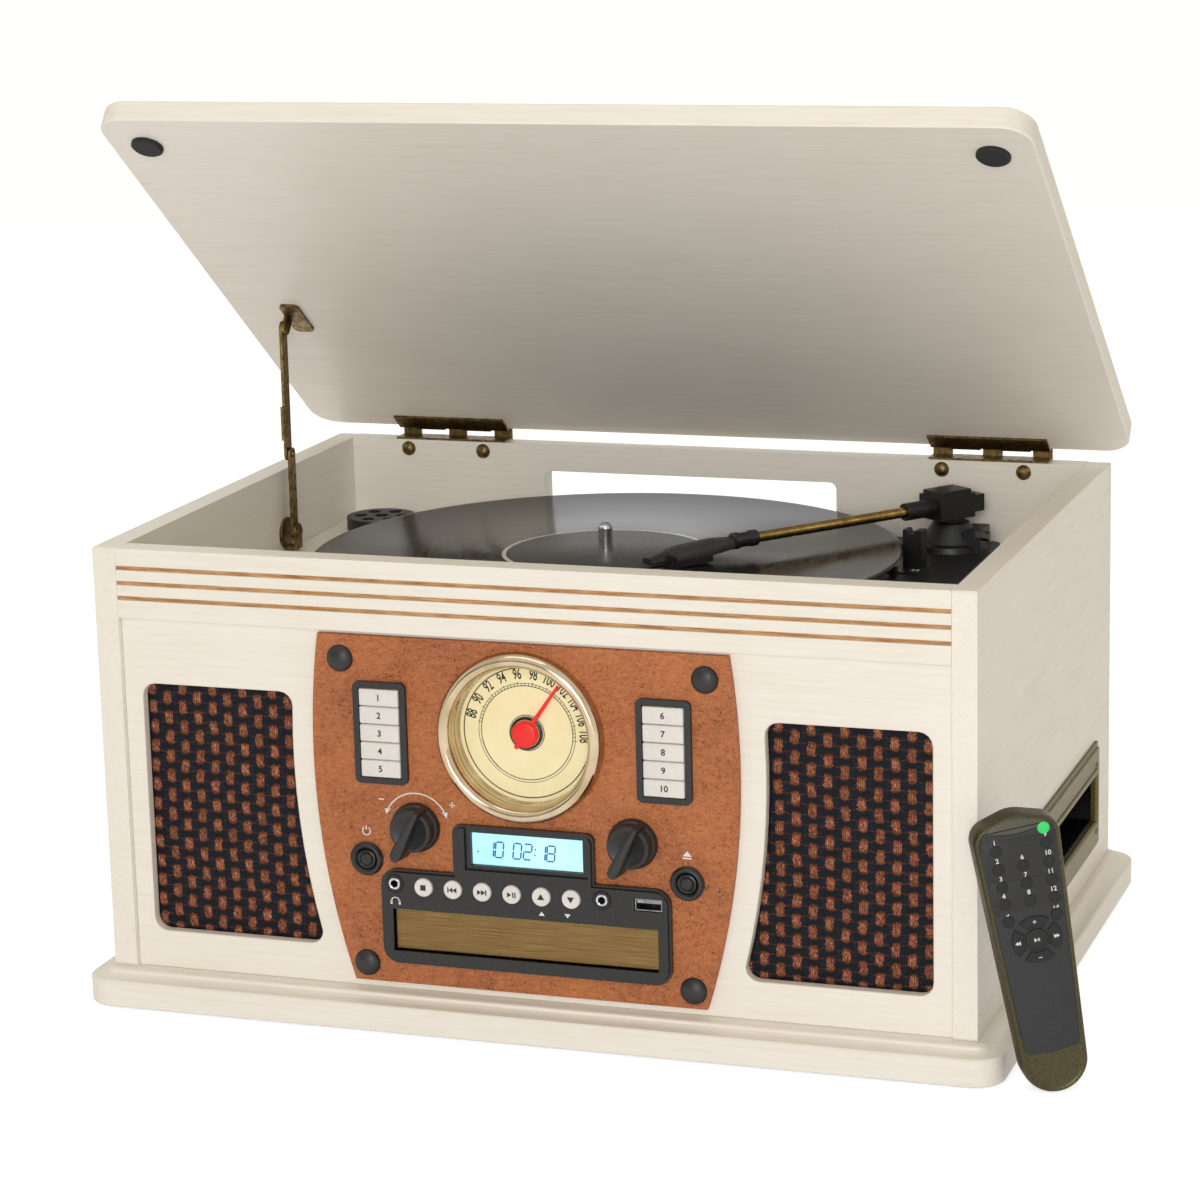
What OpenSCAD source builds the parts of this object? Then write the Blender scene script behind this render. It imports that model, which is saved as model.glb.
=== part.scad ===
// Stereo music centre: a moulded wooden cabinet with a lidded record deck, a tuner fascia with a
// round dial, a disc tray, a cassette slot in the right side and a handset leaning beside it.
// Cabinet coordinates: X from the left side's outer face, Y from the front edge back, Z from the floor.

/* [Cabinet] */
// Width over the two side panels
body_w = 435; // [425:1:470]
// Depth of the side panels
body_d = 310; // [305:1:330]
// Height of the side panels
body_h = 211; // [208:1:240]
// Thickness of the side panels
side_t = 12; // [8:0.5:14]
// Thickness of the back panel
back_t = 12; // [8:0.5:14]
// Height of the rubber feet
foot_h = 3; // [2:0.5:8]
// Radius of the rubber feet
foot_r = 10; // [6:0.5:14]

/* [Plinth] */
// How far the plinth stands out round the body
base_lip = 12.7; // [8:0.1:16]
// Height of the plinth with its moulding
base_h = 17.5; // [15:0.5:24]
// Height of the plinth's upright edge
base_edge = 13.6; // [8:0.1:14]
// Radius of the plinth's corners
base_r = 15; // [13:0.5:25]

/* [Lid] */
// How far the lid stands out in front and at the sides
lid_over = 12.3; // [6:0.1:16]
// Thickness of the lid
lid_t = 16; // [13:0.5:18]
// Angle that the lid stands open
lid_open = 37; // [20:1:60]
// Thickness of the bumper pads that carry the closed lid
pad_t = 2.5; // [2:0.1:4]
// Radius of the hinge pins
pin_r = 1.5; // [1:0.1:2]
// Width of a hinge leaf
leaf_w = 64; // [58:1:70]

/* [Front] */
// Height of the grooved frieze
frieze_h = 34.5; // [30:0.5:40]
// Thickness of the frieze
frieze_t = 13; // [8:0.5:14]
// Distance between the frieze's grooves
groove_pitch = 7.4; // [5:0.1:9]
// How far the baffle lies behind the front edges
baffle_set = 3; // [2:0.5:5]
// Thickness of the baffle
baffle_t = 6; // [5:0.5:9]
// Thickness of the leather covered fascia
fascia_t = 3; // [2:0.5:4]
// Radius of the fascia's bowed sides
fascia_bow = 380; // [300:10:600]
// Widest half width of the fascia
fascia_half = 106; // [104:0.5:110]

/* [Dial] */
// Outer radius of the dial bezel
dial_r = 41.2; // [37:0.1:43]
// Radius of the dial's window
window_r = 34.5; // [30:0.5:36]
// Length of the pointer
pointer_len = 29; // [20:0.5:30]
// Clockwise angle of the pointer from upright
pointer_turn = 35; // [0:1:90]

/* [Controls] */
// Height of one function key
key_h = 8.3; // [7:0.1:8.6]
// Width of one function key
key_w = 20; // [16:0.1:24]
// Radius of a round transport key
round_r = 4.6; // [3:0.1:5.5]
// Distance between the transport keys
round_pitch = 14.85; // [13:0.05:15]
// Radius of the two rotary knobs
knob_r = 12; // [9:0.5:14]
// How far the knobs stand out
knob_reach = 16; // [13:0.5:20]

/* [Disc tray] */
// Width of the tray front
tray_w = 132; // [130:1:140]
// Height of the tray front
tray_h = 20; // [16:0.5:20]
// Depth of the tray behind its front
tray_d = 140; // [135:1:160]

/* [Deck] */
// Radius of the record
record_r = 150.5; // [150:0.1:151]
// Thickness of the record
record_t = 1.6; // [1.2:0.1:2]
// Radius of the platter
platter_r = 115; // [90:1:118]
// Height of the platter with its mat above the deck
platter_h = 14; // [13:0.5:16]
// Radius of the spindle
spindle_r = 3.6; // [3.5:0.05:3.65]
// Height of the record deck's board below the cabinet's top edge
deck_drop = 43.6; // [42:0.1:46]

/* [Tonearm] */
// Direction of the arm in plan
arm_yaw = -127.3; // [-129:0.1:-126]
// Length of the arm from its pivot to the headshell collar
arm_len = 133; // [128:0.5:138]
// Radius of the arm tube
arm_r = 2.7; // [2:0.1:3]
// Angle between the arm tube and the headshell
shell_turn = 6; // [2:0.5:12]
// Height of the arm's axis above the record
arm_rise = 8.6; // [8.5:0.1:10]

/* [Handset] */
// Length of the handset
remote_len = 134; // [128:1:140]
// Width of the handset at its top
remote_w = 40; // [36:0.5:42]
// Thickness of the handset
remote_t = 16; // [12:0.5:18]
// Angle at which the handset leans sideways
remote_lean = 9.5; // [8:0.5:10]

/* [Hidden] */

// Running gap round a moving piece, and the gap at a seat
gap = 0.5;
seat = 0.3;
// Radial clearance of a shaft in its bore
shaft_gap = 0.06;
eps = 0.01;
$fn = 48;

// Levels and planes
base_z = foot_h;
body_z = base_z + base_h;
top_z = body_z + body_h;
mid_x = body_w / 2;
frieze_z = top_z - frieze_h;
inner_w = body_w - 2 * side_t;
back_y = body_d - back_t;
baffle_y = baffle_set;
cloth_y = baffle_y + baffle_t;

// Fascia: its centre, corners and holes
fascia_z0 = body_z + 4;
fascia_z1 = frieze_z - 1.5;
bow_z = fascia_z0 + 113.6;
dial_z = fascia_z0 + 126.3;
dial_y = 8;
stud_r = 6.6;
stud_top = 90.3;
stud_low = 82.2;
key_pitch = key_h + 0.4;
key_n = 5;
frame_w = key_w + 6.6;
frame_h = key_n * key_pitch + 6.2;
keys_x = 70.4;
keys_z = fascia_z0 + 124.2;
knob_x = 54.2;
knob_z = fascia_z0 + 78.9;
switch_x = 80.2;
switch_z = fascia_z0 + 61.3;
switch_ring = 8.3;
switch_r = 5;
// Black bezel of the disc player: a wide lower part and a narrower upper part
bezel_w = 145;
bezel_z0 = fascia_z0 + 11;
bezel_z1 = fascia_z0 + 57.8;
bezel_top_w = 70.5;
bezel_z2 = fascia_z0 + 82.2;
bezel_reach = 4;
lcd_w = 55.4;
lcd_z0 = fascia_z0 + 63;
lcd_h = 15.6;
lcd_x = mid_x + 1.8;
round_z = fascia_z0 + 50.2;
round_x0 = mid_x - 50.3;
jack_x = 65.1;
aux_x = 39.2;
usb_x = 62;
usb_w = 13.2;
usb_h = 5.6;
jack_r = 1.8;
tray_z = fascia_z0 + 18;
tray_floor = 3;
// The opening in the baffle behind the fascia
well_half = 90;
well_z0 = fascia_z0 + 7;
well_z1 = fascia_z1 - 6;

// Speaker openings
speaker_edge = 21.5;
speaker_z0 = body_z + 19;
speaker_z1 = body_z + 144;
speaker_gap = 12;
speaker_r = 6.5;

// Deck
deck_t = 10;
deck_z = top_z - deck_drop;
deck_y = cloth_y + 2.5;
plate_t = 1.4;
plate_edge = 23;
plate_z = deck_z + plate_t;
disc_x = mid_x - 13.7;
disc_y = 168;
disc_z = deck_z + platter_h;
record_z = disc_z + record_t;
hub_r = 9;
bearing_r = 4.5;
slot_w = 165;
slot_z0 = record_z - 11;
slot_z1 = record_z + 13.4;

// Tonearm
arm_x = disc_x + 153.2;
arm_y = disc_y + 109.5;
arm_z = record_z + arm_rise;
pedestal_z = record_z - 0.4;
pedestal_r = 9.5;
sink = 0.4;
arm_post = 49.5;
// Width of the arm's cradle on the side of the record
rest_inner = 4.5;
park_turn = 28;
turret_r = 3;
shell_len = 56;
shell_droop = 4;

// Lid hinge line and stay pivots
hinge_y = body_d + 3.2;
hinge_z = top_z + pad_t + 8.5;
knuckle_r = 3;
leaf_t = 1;
leaf_x = [37.8, body_w - 95.2];
tab_w = 10.4;
tab_pitch = (leaf_w - tab_w) / 2;
lid_back = body_d - 0.5;
lid_z = top_z + pad_t;
stay_x = 18;
stay_y0 = 201;
stay_z0 = top_z - 33.2;
stay_y1 = 201.6;
stay_z1 = top_z + 76.3;
stay_low = 42;
link_w = 7;
link_t = 1.6;
rivet_r = 1.6;
stay_high = sqrt(pow(stay_y1 - stay_y0, 2) + pow(stay_z1 - stay_z0, 2)) - stay_low;
stay_angle = atan2(stay_z1 - stay_z0, stay_y1 - stay_y0);
elbow_y = stay_y0 + stay_low * cos(stay_angle);
elbow_z = stay_z0 + stay_low * sin(stay_angle);

// Cassette slot in the right side
cassette_y = 206.3;
cassette_z = body_z + 42.5;
cassette_y0 = cassette_y - 81;
cassette_y1 = cassette_y + 66;
cassette_h = 56;
mouth_w = 110;
mouth_h = 24.8;

// Handset: centre of its lower round end on the back face, and its turn in plan
remote_r = 15.5;
remote_yaw = 25;
remote_off = 29.5;
remote_x = body_w + remote_off;
remote_y = remote_off * tan(remote_yaw) - seat;
rim = 3;

// Middle of the whole part's box in plan
box_x = (remote_x + remote_r * cos(remote_yaw) + (remote_t - rim) * sin(remote_yaw) - base_lip) / 2;
box_y = (body_d + base_lip - knob_reach) / 2;

// ---- Shared forms ----

// Moves cabinet coordinates to the part's own frame
module placed() translate([-box_x, -box_y, 0]) children();

// Block from one corner to the other
module block(a, b) translate(a) cube([for (i = [0:2]) b[i] - a[i]]);

// Upright plate with round corners, from y0 to y1
module face_plate(x0, z0, x1, z1, r, y0, y1) {
  block([x0 + r, y0, z0], [x1 - r, y1, z1]);
  block([x0, y0, z0 + r], [x1, y1, z1 - r]);
  for (x = [x0 + r, x1 - r], z = [z0 + r, z1 - r])
    translate([x, y1, z]) rotate([90, 0, 0]) cylinder(r = r, h = y1 - y0, $fn = 32);
}

// Flat plate with round corners, from z0 to z1
module flat_plate(x0, y0, x1, y1, r, z0, z1) {
  block([x0 + r, y0, z0], [x1 - r, y1, z1]);
  block([x0, y0 + r, z0], [x1, y1 - r, z1]);
  for (x = [x0 + r, x1 - r], y = [y0 + r, y1 - r])
    translate([x, y, z0]) cylinder(r = r, h = z1 - z0, $fn = 32);
}

// Cylinder along Y from y0 to y1
module rod_y(x, z, r, y0, y1) translate([x, y1, z]) rotate([90, 0, 0]) cylinder(r = r, h = y1 - y0);

// Cylinder along X from x0 to x1
module rod_x(y, z, r, x0, x1) translate([x0, y, z]) rotate([0, 90, 0]) cylinder(r = r, h = x1 - x0);

// Solid of revolution about an axis along -Y, from a profile of [radius, reach] points
module turned_y(x, y, z, profile) translate([x, y, z]) rotate([90, 0, 0]) rotate_extrude() polygon(profile);

// Board whose four edges have one moulded profile of [distance from corner centre, height] points
module moulded_board(x0, y0, x1, y1, r, z0, profile) {
  h = profile[len(profile) - 1][1];
  both = concat(profile, [for (i = [len(profile) - 1:-1:0]) [-profile[i][0], profile[i][1]]]);
  translate([0, 0, z0]) {
    for (x = [x0 + r, x1 - r], y = [y0 + r, y1 - r]) translate([x, y, 0]) rotate_extrude() polygon(profile);
    for (y = [y0 + r, y1 - r]) translate([x0 + r, y, 0]) rotate([90, 0, 90])
      linear_extrude(x1 - x0 - 2 * r) polygon(both);
    for (x = [x0 + r, x1 - r]) translate([x, y1 - r, 0]) rotate([90, 0, 0])
      linear_extrude(y1 - y0 - 2 * r) polygon(both);
    block([x0 + r, y0 + r, 0], [x1 - r, y1 - r, h]);
  }
}

// Quarter hollow of a moulding, from the point a to the point b
function cove(a, b, n = 4) = [for (i = [1:n]) let (t = 90 * i / n)
  [a[0] + (b[0] - a[0]) * sin(t), a[1] + (b[1] - a[1]) * (1 - cos(t))]];

// Carries a piece from the closed lid's place to the open one
module lid_place() translate([0, hinge_y, hinge_z]) rotate([-lid_open, 0, 0])
  translate([0, -hinge_y, -hinge_z]) children();

// Local frame of the tonearm, with X along the arm
module arm_place() translate([arm_x, arm_y, 0]) rotate([0, 0, arm_yaw]) children();

// ---- Cabinet ----

module base_board() color("antiquewhite") placed() difference() {
  moulded_board(-base_lip, -base_lip, body_w + base_lip, body_d + base_lip, base_r, base_z,
    concat([[0, 0], [base_r - 0.8, 0], [base_r, 0.8], [base_r, base_edge - 0.8], [base_r - 0.8, base_edge]],
      cove([base_r - 1.6, base_edge], [base_r - 8.5, base_h - 0.9]), [[base_r - base_lip + 2, base_h], [0, base_h]]));
  for (x = [foot_inset, body_w - foot_inset], y = [foot_inset, body_d - foot_inset])
    translate([x, y, base_z - eps]) cylinder(r = 2, h = 8);
}

foot_inset = 18;

module rubber_feet() color("dimgray") placed()
  for (x = [foot_inset, body_w - foot_inset], y = [foot_inset, body_d - foot_inset])
    translate([x, y, 0]) rotate_extrude() polygon([[0, 0], [foot_r - 1, 0], [foot_r, 1], [foot_r, foot_h], [0, foot_h]]);

// Side panel with its four long edges eased
module side_panel(x0) {
  ease = 1.2;
  translate([x0, 0, body_z]) rotate([90, 0, 90]) linear_extrude(side_t) polygon([[ease, 0], [body_d - ease, 0],
    [body_d, ease], [body_d, body_h - ease], [body_d - ease, body_h], [ease, body_h], [0, body_h - ease], [0, ease]]);
}

module left_side_panel() color("antiquewhite") placed() difference() {
  side_panel(0);
  for (s = [-1, 1]) rod_x(stay_y0 + s * 6.5, stay_z0 - 2, 1.2, side_t - 8, side_t + eps);
}

module right_side_panel() color("antiquewhite") placed() difference() {
  side_panel(body_w - side_t);
  block([body_w - side_t - 1, cassette_y - mouth_w / 2 - 4, cassette_z - mouth_h / 2 - 4],
    [body_w + 1, cassette_y + mouth_w / 2 + 4, cassette_z + mouth_h / 2 + 4]);
}

bolt_z = top_z - 5;
bolt_x = [for (x0 = leaf_x, s = [0.115, 0.8]) x0 + leaf_w * s];
screw_pitch = leaf_w / 4;
phono_x = [mid_x + 110, mid_x + 126];
inlet_x = mid_x - 120;
rear_z = body_z + 40;

module back_panel() color("antiquewhite") placed() difference() {
  block([side_t, back_y, body_z], [body_w - side_t, body_d, top_z]);
  face_plate(disc_x + 3.3 - slot_w / 2, slot_z0, disc_x + 3.3 + slot_w / 2, slot_z1, 4, back_y - 1, body_d + 1);
  for (x = bolt_x) rod_y(x, bolt_z, 2.1, back_y - 1, body_d + 1);
  for (x = phono_x) rod_y(x, rear_z, 5, back_y - 1, body_d + 1);
  rod_y(inlet_x, rear_z, 8, back_y - 1, body_d + 1);
}

module front_frieze() color("antiquewhite") placed() difference() {
  block([side_t, 0, frieze_z], [body_w - side_t, frieze_t, top_z]);
  for (i = [0:2]) block([side_t - 1, -1, top_z - 9.65 - i * groove_pitch - 1],
    [body_w - side_t + 1, 1.3, top_z - 9.65 - i * groove_pitch + 1]);
}

// Half width of the fascia at a height
function bow_half(z) = fascia_half - fascia_bow + sqrt(pow(fascia_bow, 2) - pow(z - bow_z, 2));

// Quarter of a round corner about c, clockwise from the angle a
function corner(c, r, a) = [for (i = [0:4]) [c[0] + r * cos(a - 22.5 * i), c[1] + r * sin(a - 22.5 * i)]];

// Inner edge of the right speaker opening at a height, grown by g
function speaker_inner(z, g) = bow_half(z) + speaker_gap - g;

// Outline of the right speaker opening, grown by g, in [x, z]
function speaker_outline(g) = let (r = speaker_r + g, x1 = body_w / 2 - speaker_edge - speaker_r,
    z0 = speaker_z0 + speaker_r, z1 = speaker_z1 - speaker_r)
  concat(corner([x1, z1], r, 90), corner([x1, z0], r, 0), corner([speaker_inner(z0, g) + r, z0], r, -90),
    [for (i = [1:7]) let (z = z0 + (z1 - z0) * i / 8) [speaker_inner(z, g), z]],
    corner([speaker_inner(z1, g) + r, z1], r, 180));

// Plate with the outline of one speaker opening
module speaker_plate(side, g, y0, y1) translate([mid_x, y1, 0]) rotate([90, 0, 0])
  linear_extrude(y1 - y0) polygon([for (p = speaker_outline(g)) [side * p[0], p[1]]]);

module front_baffle() color("antiquewhite") placed() difference() {
  block([side_t, baffle_y, body_z], [body_w - side_t, baffle_y + baffle_t, frieze_z]);
  for (side = [-1, 1]) speaker_plate(side, 0, baffle_y - 1, baffle_y + baffle_t + 1);
  block([mid_x - well_half, baffle_y - 1, well_z0], [mid_x + well_half, baffle_y + baffle_t + 1, well_z1]);
}

module speaker_cloths() color("midnightblue") placed()
  for (side = [-1, 1]) speaker_plate(side, 4, cloth_y, cloth_y + 1);

driver_x = 150.5;
driver_z = body_z + 84;
driver_r = 36;

module speaker_drivers() color("dimgray") placed() for (side = [-1, 1])
  turned_y(mid_x + side * driver_x, cloth_y + 1, driver_z, [[0, -14], [10, -13], [driver_r - 5, -2],
    [driver_r - 5, 0], [driver_r, 0], [driver_r, -3], [driver_r - 4, -3], [22, -20], [22, -34], [0, -34]]);

// ---- Lid, hinges and stay ----

lid_edge = lid_t - 5;

module lid_board() color("antiquewhite") placed() lid_place() difference() {
  moulded_board(-lid_over, -lid_over, body_w + lid_over, lid_back, base_r, lid_z,
    concat([[0, 0], [base_r - 0.8, 0], [base_r, 0.8], [base_r, lid_edge - 0.8], [base_r - 0.8, lid_edge]],
      cove([base_r - 2, lid_edge], [base_r - 9, lid_t - 0.8]), [[base_r - 10, lid_t], [0, lid_t]]));
  for (x0 = leaf_x, i = [0:3]) translate([x0 + 8 + i * screw_pitch, lid_back - 7.5, lid_z - eps]) cylinder(r = 1, h = 7);
}

// Sheet metal with a tube round the hinge pin, in the tabs of one leaf
module knuckles(x0, tabs, foot_y, foot_z, bore) for (x = tabs) difference() {
  union() {
    block([x0 + x, foot_y, foot_z], [x0 + x + tab_w, foot_y + 1.4, hinge_z]);
    rod_x(hinge_y, hinge_z, knuckle_r, x0 + x, x0 + x + tab_w);
  }
  rod_x(hinge_y, hinge_z, bore, x0 + x - 1, x0 + x + tab_w + 1);
}

fixed_tabs = [for (i = [0:2]) i * tab_pitch];
moving_w = tab_pitch - tab_w - 2 * seat;

// Bolt with a domed head inside the cabinet and a nut behind the hinge plate
module bolt(x) {
  turned_y(x, back_y, bolt_z, [[0, 2.6], [1.6, 2.4], [3, 1.6], [4, 0.4], [4, 0], [0, 0]]);
  rod_y(x, bolt_z, 1.9, back_y - eps, body_d + 3.6);
  rod_y(x, bolt_z, 3.2, body_d + 1.2, body_d + 3.2);
}

module cabinet_fittings() color("darkgoldenrod") placed() {
  for (k = [0, 1]) {
    x0 = leaf_x[k];
    block([x0, body_d, top_z - 10], [x0 + leaf_w, body_d + 1.2, top_z]);
    block([x0, back_y + 1, top_z], [x0 + leaf_w, body_d + 1.2, top_z + leaf_t]);
    knuckles(x0, fixed_tabs, body_d, top_z - 1, pin_r - 0.2);
    rod_x(hinge_y, hinge_z, pin_r, x0 - 1, x0 + leaf_w + 1);
    for (i = [0, 1]) bolt(bolt_x[2 * k + i]);
  }
  stay_bracket(stay_y0, stay_z0);
}

// Yoke on the side panel that carries the stay's lower pivot
module stay_bracket(y, z) {
  rod_x(y, z - 1, 8.5, side_t, side_t + 1.4);
  block([side_t, y - 4, z - 9], [stay_x + 1, y + 4, z - 7.6]);
  block([stay_x + seat, y - 4, z - 9], [stay_x + seat + 1.4, y + 4, z]);
  rod_x(y, z, 4.6, stay_x + seat, stay_x + seat + 1.4);
  rod_x(y, z, rivet_r, stay_x - link_t - 0.6, stay_x + seat + eps);
  rod_x(y, z, 2.8, stay_x + seat, stay_x + seat + 2.4);
  for (s = [-1, 1]) rod_x(y + s * 6.5, z - 2, 1.1, side_t - 6, side_t + 1);
}

// The stay's upper pivot in the closed lid's place
stay_rel = [stay_y1 - hinge_y, stay_z1 - hinge_z];
lid_pivot_y = hinge_y + stay_rel[0] * cos(lid_open) - stay_rel[1] * sin(lid_open);
lid_pivot_z = hinge_z + stay_rel[0] * sin(lid_open) + stay_rel[1] * cos(lid_open);

ear_x = stay_x - link_t;

module lid_fittings() color("darkgoldenrod") placed() lid_place() {
  for (x0 = leaf_x) {
    block([x0, lid_back - 12, lid_z - 1.2], [x0 + leaf_w, lid_back + 0.3, lid_z]);
    for (i = [0, 1]) {
      x = fixed_tabs[i] + tab_w + seat;
      block([x0 + x, lid_back - 1, lid_z - 1.2], [x0 + x + moving_w, lid_back + 1.7, lid_z]);
      difference() {
        union() {
          block([x0 + x, lid_back + 0.3, lid_z - 1.2], [x0 + x + moving_w, lid_back + 1.7, hinge_z]);
          rod_x(hinge_y, hinge_z, knuckle_r, x0 + x, x0 + x + moving_w);
        }
        rod_x(hinge_y, hinge_z, pin_r + shaft_gap, x0 + x - 1, x0 + x + moving_w + 1);
      }
    }
    for (i = [0:3]) translate([x0 + 8 + i * screw_pitch, lid_back - 7.5, lid_z - 1.2]) cylinder(r = 0.9, h = 6);
  }
  // Bracket of the stay: a flat foot on the lid and an ear that hangs down
  flat_plate(ear_x, lid_pivot_y - 14, ear_x + 11, lid_pivot_y + 14, 3, lid_z - 1.4, lid_z);
  block([ear_x, lid_pivot_y - 4, lid_pivot_z], [ear_x + 1.4, lid_pivot_y + 4, lid_z - 0.5]);
  rod_x(lid_pivot_y, lid_pivot_z, 4, ear_x, ear_x + 1.4);
  rod_x(lid_pivot_y, lid_pivot_z, rivet_r, upper_x - link_t - 0.8, ear_x + eps);
  // Bumper pads near the free corners
  for (x = [8, body_w - 8]) translate([x, 11.5, lid_z - pad_t + seat])
    rotate_extrude() polygon([[0, 0], [7, 0], [8, 0.8], [8, pad_t - seat], [0, pad_t - seat]]);
}

// Flat link along Z with round ends
module link(length, w, t) {
  block([-t, -w / 2, 0], [0, w / 2, length]);
  for (z = [0, length]) rod_x(0, z, w / 2, -t, 0);
}

module stay_lower_link() color("darkgoldenrod") placed()
  translate([stay_x, stay_y0, stay_z0]) rotate([stay_angle - 90, 0, 0]) difference() {
    union() {
      link(stay_low, link_w, link_t);
      rod_x(0, stay_low, rivet_r, -eps, 0.9);
    }
    rod_x(0, 0, rivet_r + shaft_gap, -link_t - 1, 1);
  }

// The upper link lies beside the lower one, so that they fold past each other
upper_x = stay_x - link_t - seat;

module stay_upper_link() color("darkgoldenrod") placed()
  translate([upper_x, elbow_y, elbow_z]) rotate([stay_angle - 90, 0, 0]) difference() {
    union() {
      link(stay_high, link_w, link_t);
      rod_x(0, 0, rivet_r, -link_t - 0.9, -link_t + eps);
      block([-link_t, -link_w / 2 - 2.4, 8], [0, -link_w / 2 + 0.5, 26]);
    }
    rod_x(0, stay_high, rivet_r + shaft_gap, -link_t - 1, 1);
  }

// ---- Deck ----

motor_x = disc_x - 105;
motor_y = disc_y + 70;

module motor_board() color("antiquewhite") placed() difference() {
  block([side_t + seat, deck_y, deck_z - deck_t], [body_w - side_t - seat, back_y - seat, deck_z]);
  translate([disc_x, disc_y, deck_z - deck_t - 1]) cylinder(r = hub_r + 1, h = deck_t + 2);
  translate([motor_x, motor_y, deck_z - deck_t - 1]) cylinder(r = 5, h = deck_t + 2);
  translate([arm_x, arm_y, deck_z - deck_t - 1]) cylinder(r = 6, h = deck_t + 2);
  block([switch_cx - 11, switch_cy - 4, deck_z - deck_t - 1], [switch_cx + 11, switch_cy + 4, deck_z + 1]);
}

// Fixed spindle with the bearing sleeve under the deck
module spindle() color("silver") placed() translate([disc_x, disc_y, 0]) rotate_extrude()
  polygon(concat([[0, deck_z - deck_t - 6], [hub_r + 5, deck_z - deck_t - 6], [hub_r + 5, deck_z - deck_t],
    [hub_r, deck_z - deck_t], [hub_r, deck_z + 1], [spindle_r, deck_z + 1], [spindle_r, record_z + 12]],
    [for (t = [15:15:90]) [spindle_r * cos(t), record_z + 12 + 3 * sin(t)]]));

module platter() color("dimgray") placed() translate([disc_x, disc_y, 0]) rotate_extrude()
  polygon([[spindle_r + shaft_gap, deck_z + 1.3], [hub_r + 4, deck_z + 1.3], [hub_r + 4, disc_z - 6],
    [platter_r - 5, disc_z - 6], [platter_r - 5, disc_z - 11], [platter_r, disc_z - 11],
    [platter_r, disc_z - 3], [platter_r - 1, disc_z - 2], [platter_r - 2, disc_z - 2], [platter_r - 2, disc_z],
    [spindle_r + shaft_gap, disc_z]]);

module record() color("black") placed() translate([disc_x, disc_y, 0]) rotate_extrude($fn = 96)
  polygon([[spindle_r + shaft_gap, disc_z], [record_r - 1, disc_z], [record_r, disc_z + record_t / 2],
    [record_r - 1, record_z], [spindle_r + shaft_gap, record_z]]);

module drive_motor() color("silver") placed() translate([motor_x, motor_y, 0]) {
  translate([0, 0, deck_z - deck_t - 24]) cylinder(r = 17, h = 24);
  translate([0, 0, deck_z - deck_t - eps]) cylinder(r = 4, h = deck_t - 0.5);
}

switch_cx = disc_x + 142.6;
switch_cy = disc_y + 43;
cue_x = arm_x + 18;
cue_y = arm_y - 6;
cue_z = plate_z + 8;

// Black moulding with the arm's pedestal, its rest and the switch slot
module deck_plate() color("black") placed() difference() {
  union() {
    difference() {
      flat_plate(disc_x + 88, deck_y + seat, arm_x + plate_edge, back_y - 1, 6, deck_z, plate_z);
      translate([disc_x, disc_y, deck_z - 1]) cylinder(r = platter_r + 5, h = plate_t + 2);
    }
    // Pedestal of the arm, with a raised block for the lift beside it
    translate([arm_x, arm_y, plate_z]) rotate_extrude() polygon([[0, -sink], [19, -sink], [18, 3], [15.5, 4],
      [pedestal_r + 1.5, pedestal_z - plate_z - 2], [pedestal_r, pedestal_z - plate_z], [0, pedestal_z - plate_z]]);
    block([arm_x + 9, arm_y - 11, plate_z - sink], [cue_x, arm_y + 11, plate_z + 11]);
    arm_rest();
  }
  rod_x(cue_y, cue_z, 1.2 + shaft_gap, cue_x - 4, cue_x + 1);
  translate([arm_x, arm_y, deck_z - 1]) cylinder(r = turret_r + shaft_gap, h = pedestal_z - deck_z + 2);
  block([switch_cx - 9, switch_cy - 2.5, deck_z - 1], [switch_cx + 9, switch_cy + 2.5, plate_z + 1]);
}

// Cradle and hooked post that hold the parked arm
module arm_rest() translate([arm_x, arm_y, 0]) rotate([0, 0, arm_yaw + park_turn]) difference() {
  block([arm_post - 3.5, -rest_inner, plate_z - sink], [arm_post + 3.5, 6, arm_z - arm_r - 0.6]);
  translate([arm_post, 0, arm_z - arm_r - 0.6]) rotate([0, 90, 0]) cylinder(r = 2.2, h = 12, center = true);
}

module tonearm_turret() color("black") placed() arm_place() {
  translate([0, 0, pedestal_z - 14]) cylinder(r = turret_r, h = 15);
  translate([0, 0, pedestal_z + seat]) cylinder(r = 6.5, h = 1);
  for (s = [-1, 1]) difference() {
    block([-4, s * yoke_y - 0.8, pedestal_z + 0.6], [4, s * yoke_y + 0.8, arm_z + 3]);
    translate([0, s * yoke_y + 2, arm_z]) rotate([90, 0, 0]) cylinder(r = 1.2 + shaft_gap, h = 4);
  }
}

yoke_y = 5.6;
house_x0 = -9;
house_x1 = 14;
house_w = 18;
house_wall = 1.6;
house_z0 = pedestal_z + 2.8;
house_z1 = arm_z + 6.5;
collar_end = 31;

// Cover of the arm's bearing, with the collar in front and the counterweight behind it
module tonearm_housing() color("black") placed() arm_place() {
  difference() {
    union() {
      block([house_x0, -house_w / 2, house_z0], [house_x1, house_w / 2, house_z1]);
      block([house_x0 + 1.5, -house_w / 2 + 1.5, house_z1 - eps], [house_x1 - 1.5, house_w / 2 - 1.5, house_z1 + 2.2]);
      block([house_x0 - 7, -8, arm_z - 4], [house_x0 + eps, 8, arm_z + 5]);
      rod_arm(4.6, house_x1 - eps, collar_end);
    }
    block([house_x0 + 2, -house_w / 2 + house_wall, house_z0 - 1],
      [house_x1 - 2, house_w / 2 - house_wall, arm_z + 5]);
  }
  for (s = [-1, 1]) translate([0, s * (house_w / 2 - house_wall + 0.3), arm_z]) rotate([s * 90, 0, 0])
    cylinder(r = 1.2, h = 2.8);
}

// Rod along the arm's tube, from a to b
module rod_arm(r, a, b) translate([a, 0, arm_z]) rotate([0, 90, 0]) cylinder(r = r, h = b - a);

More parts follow.
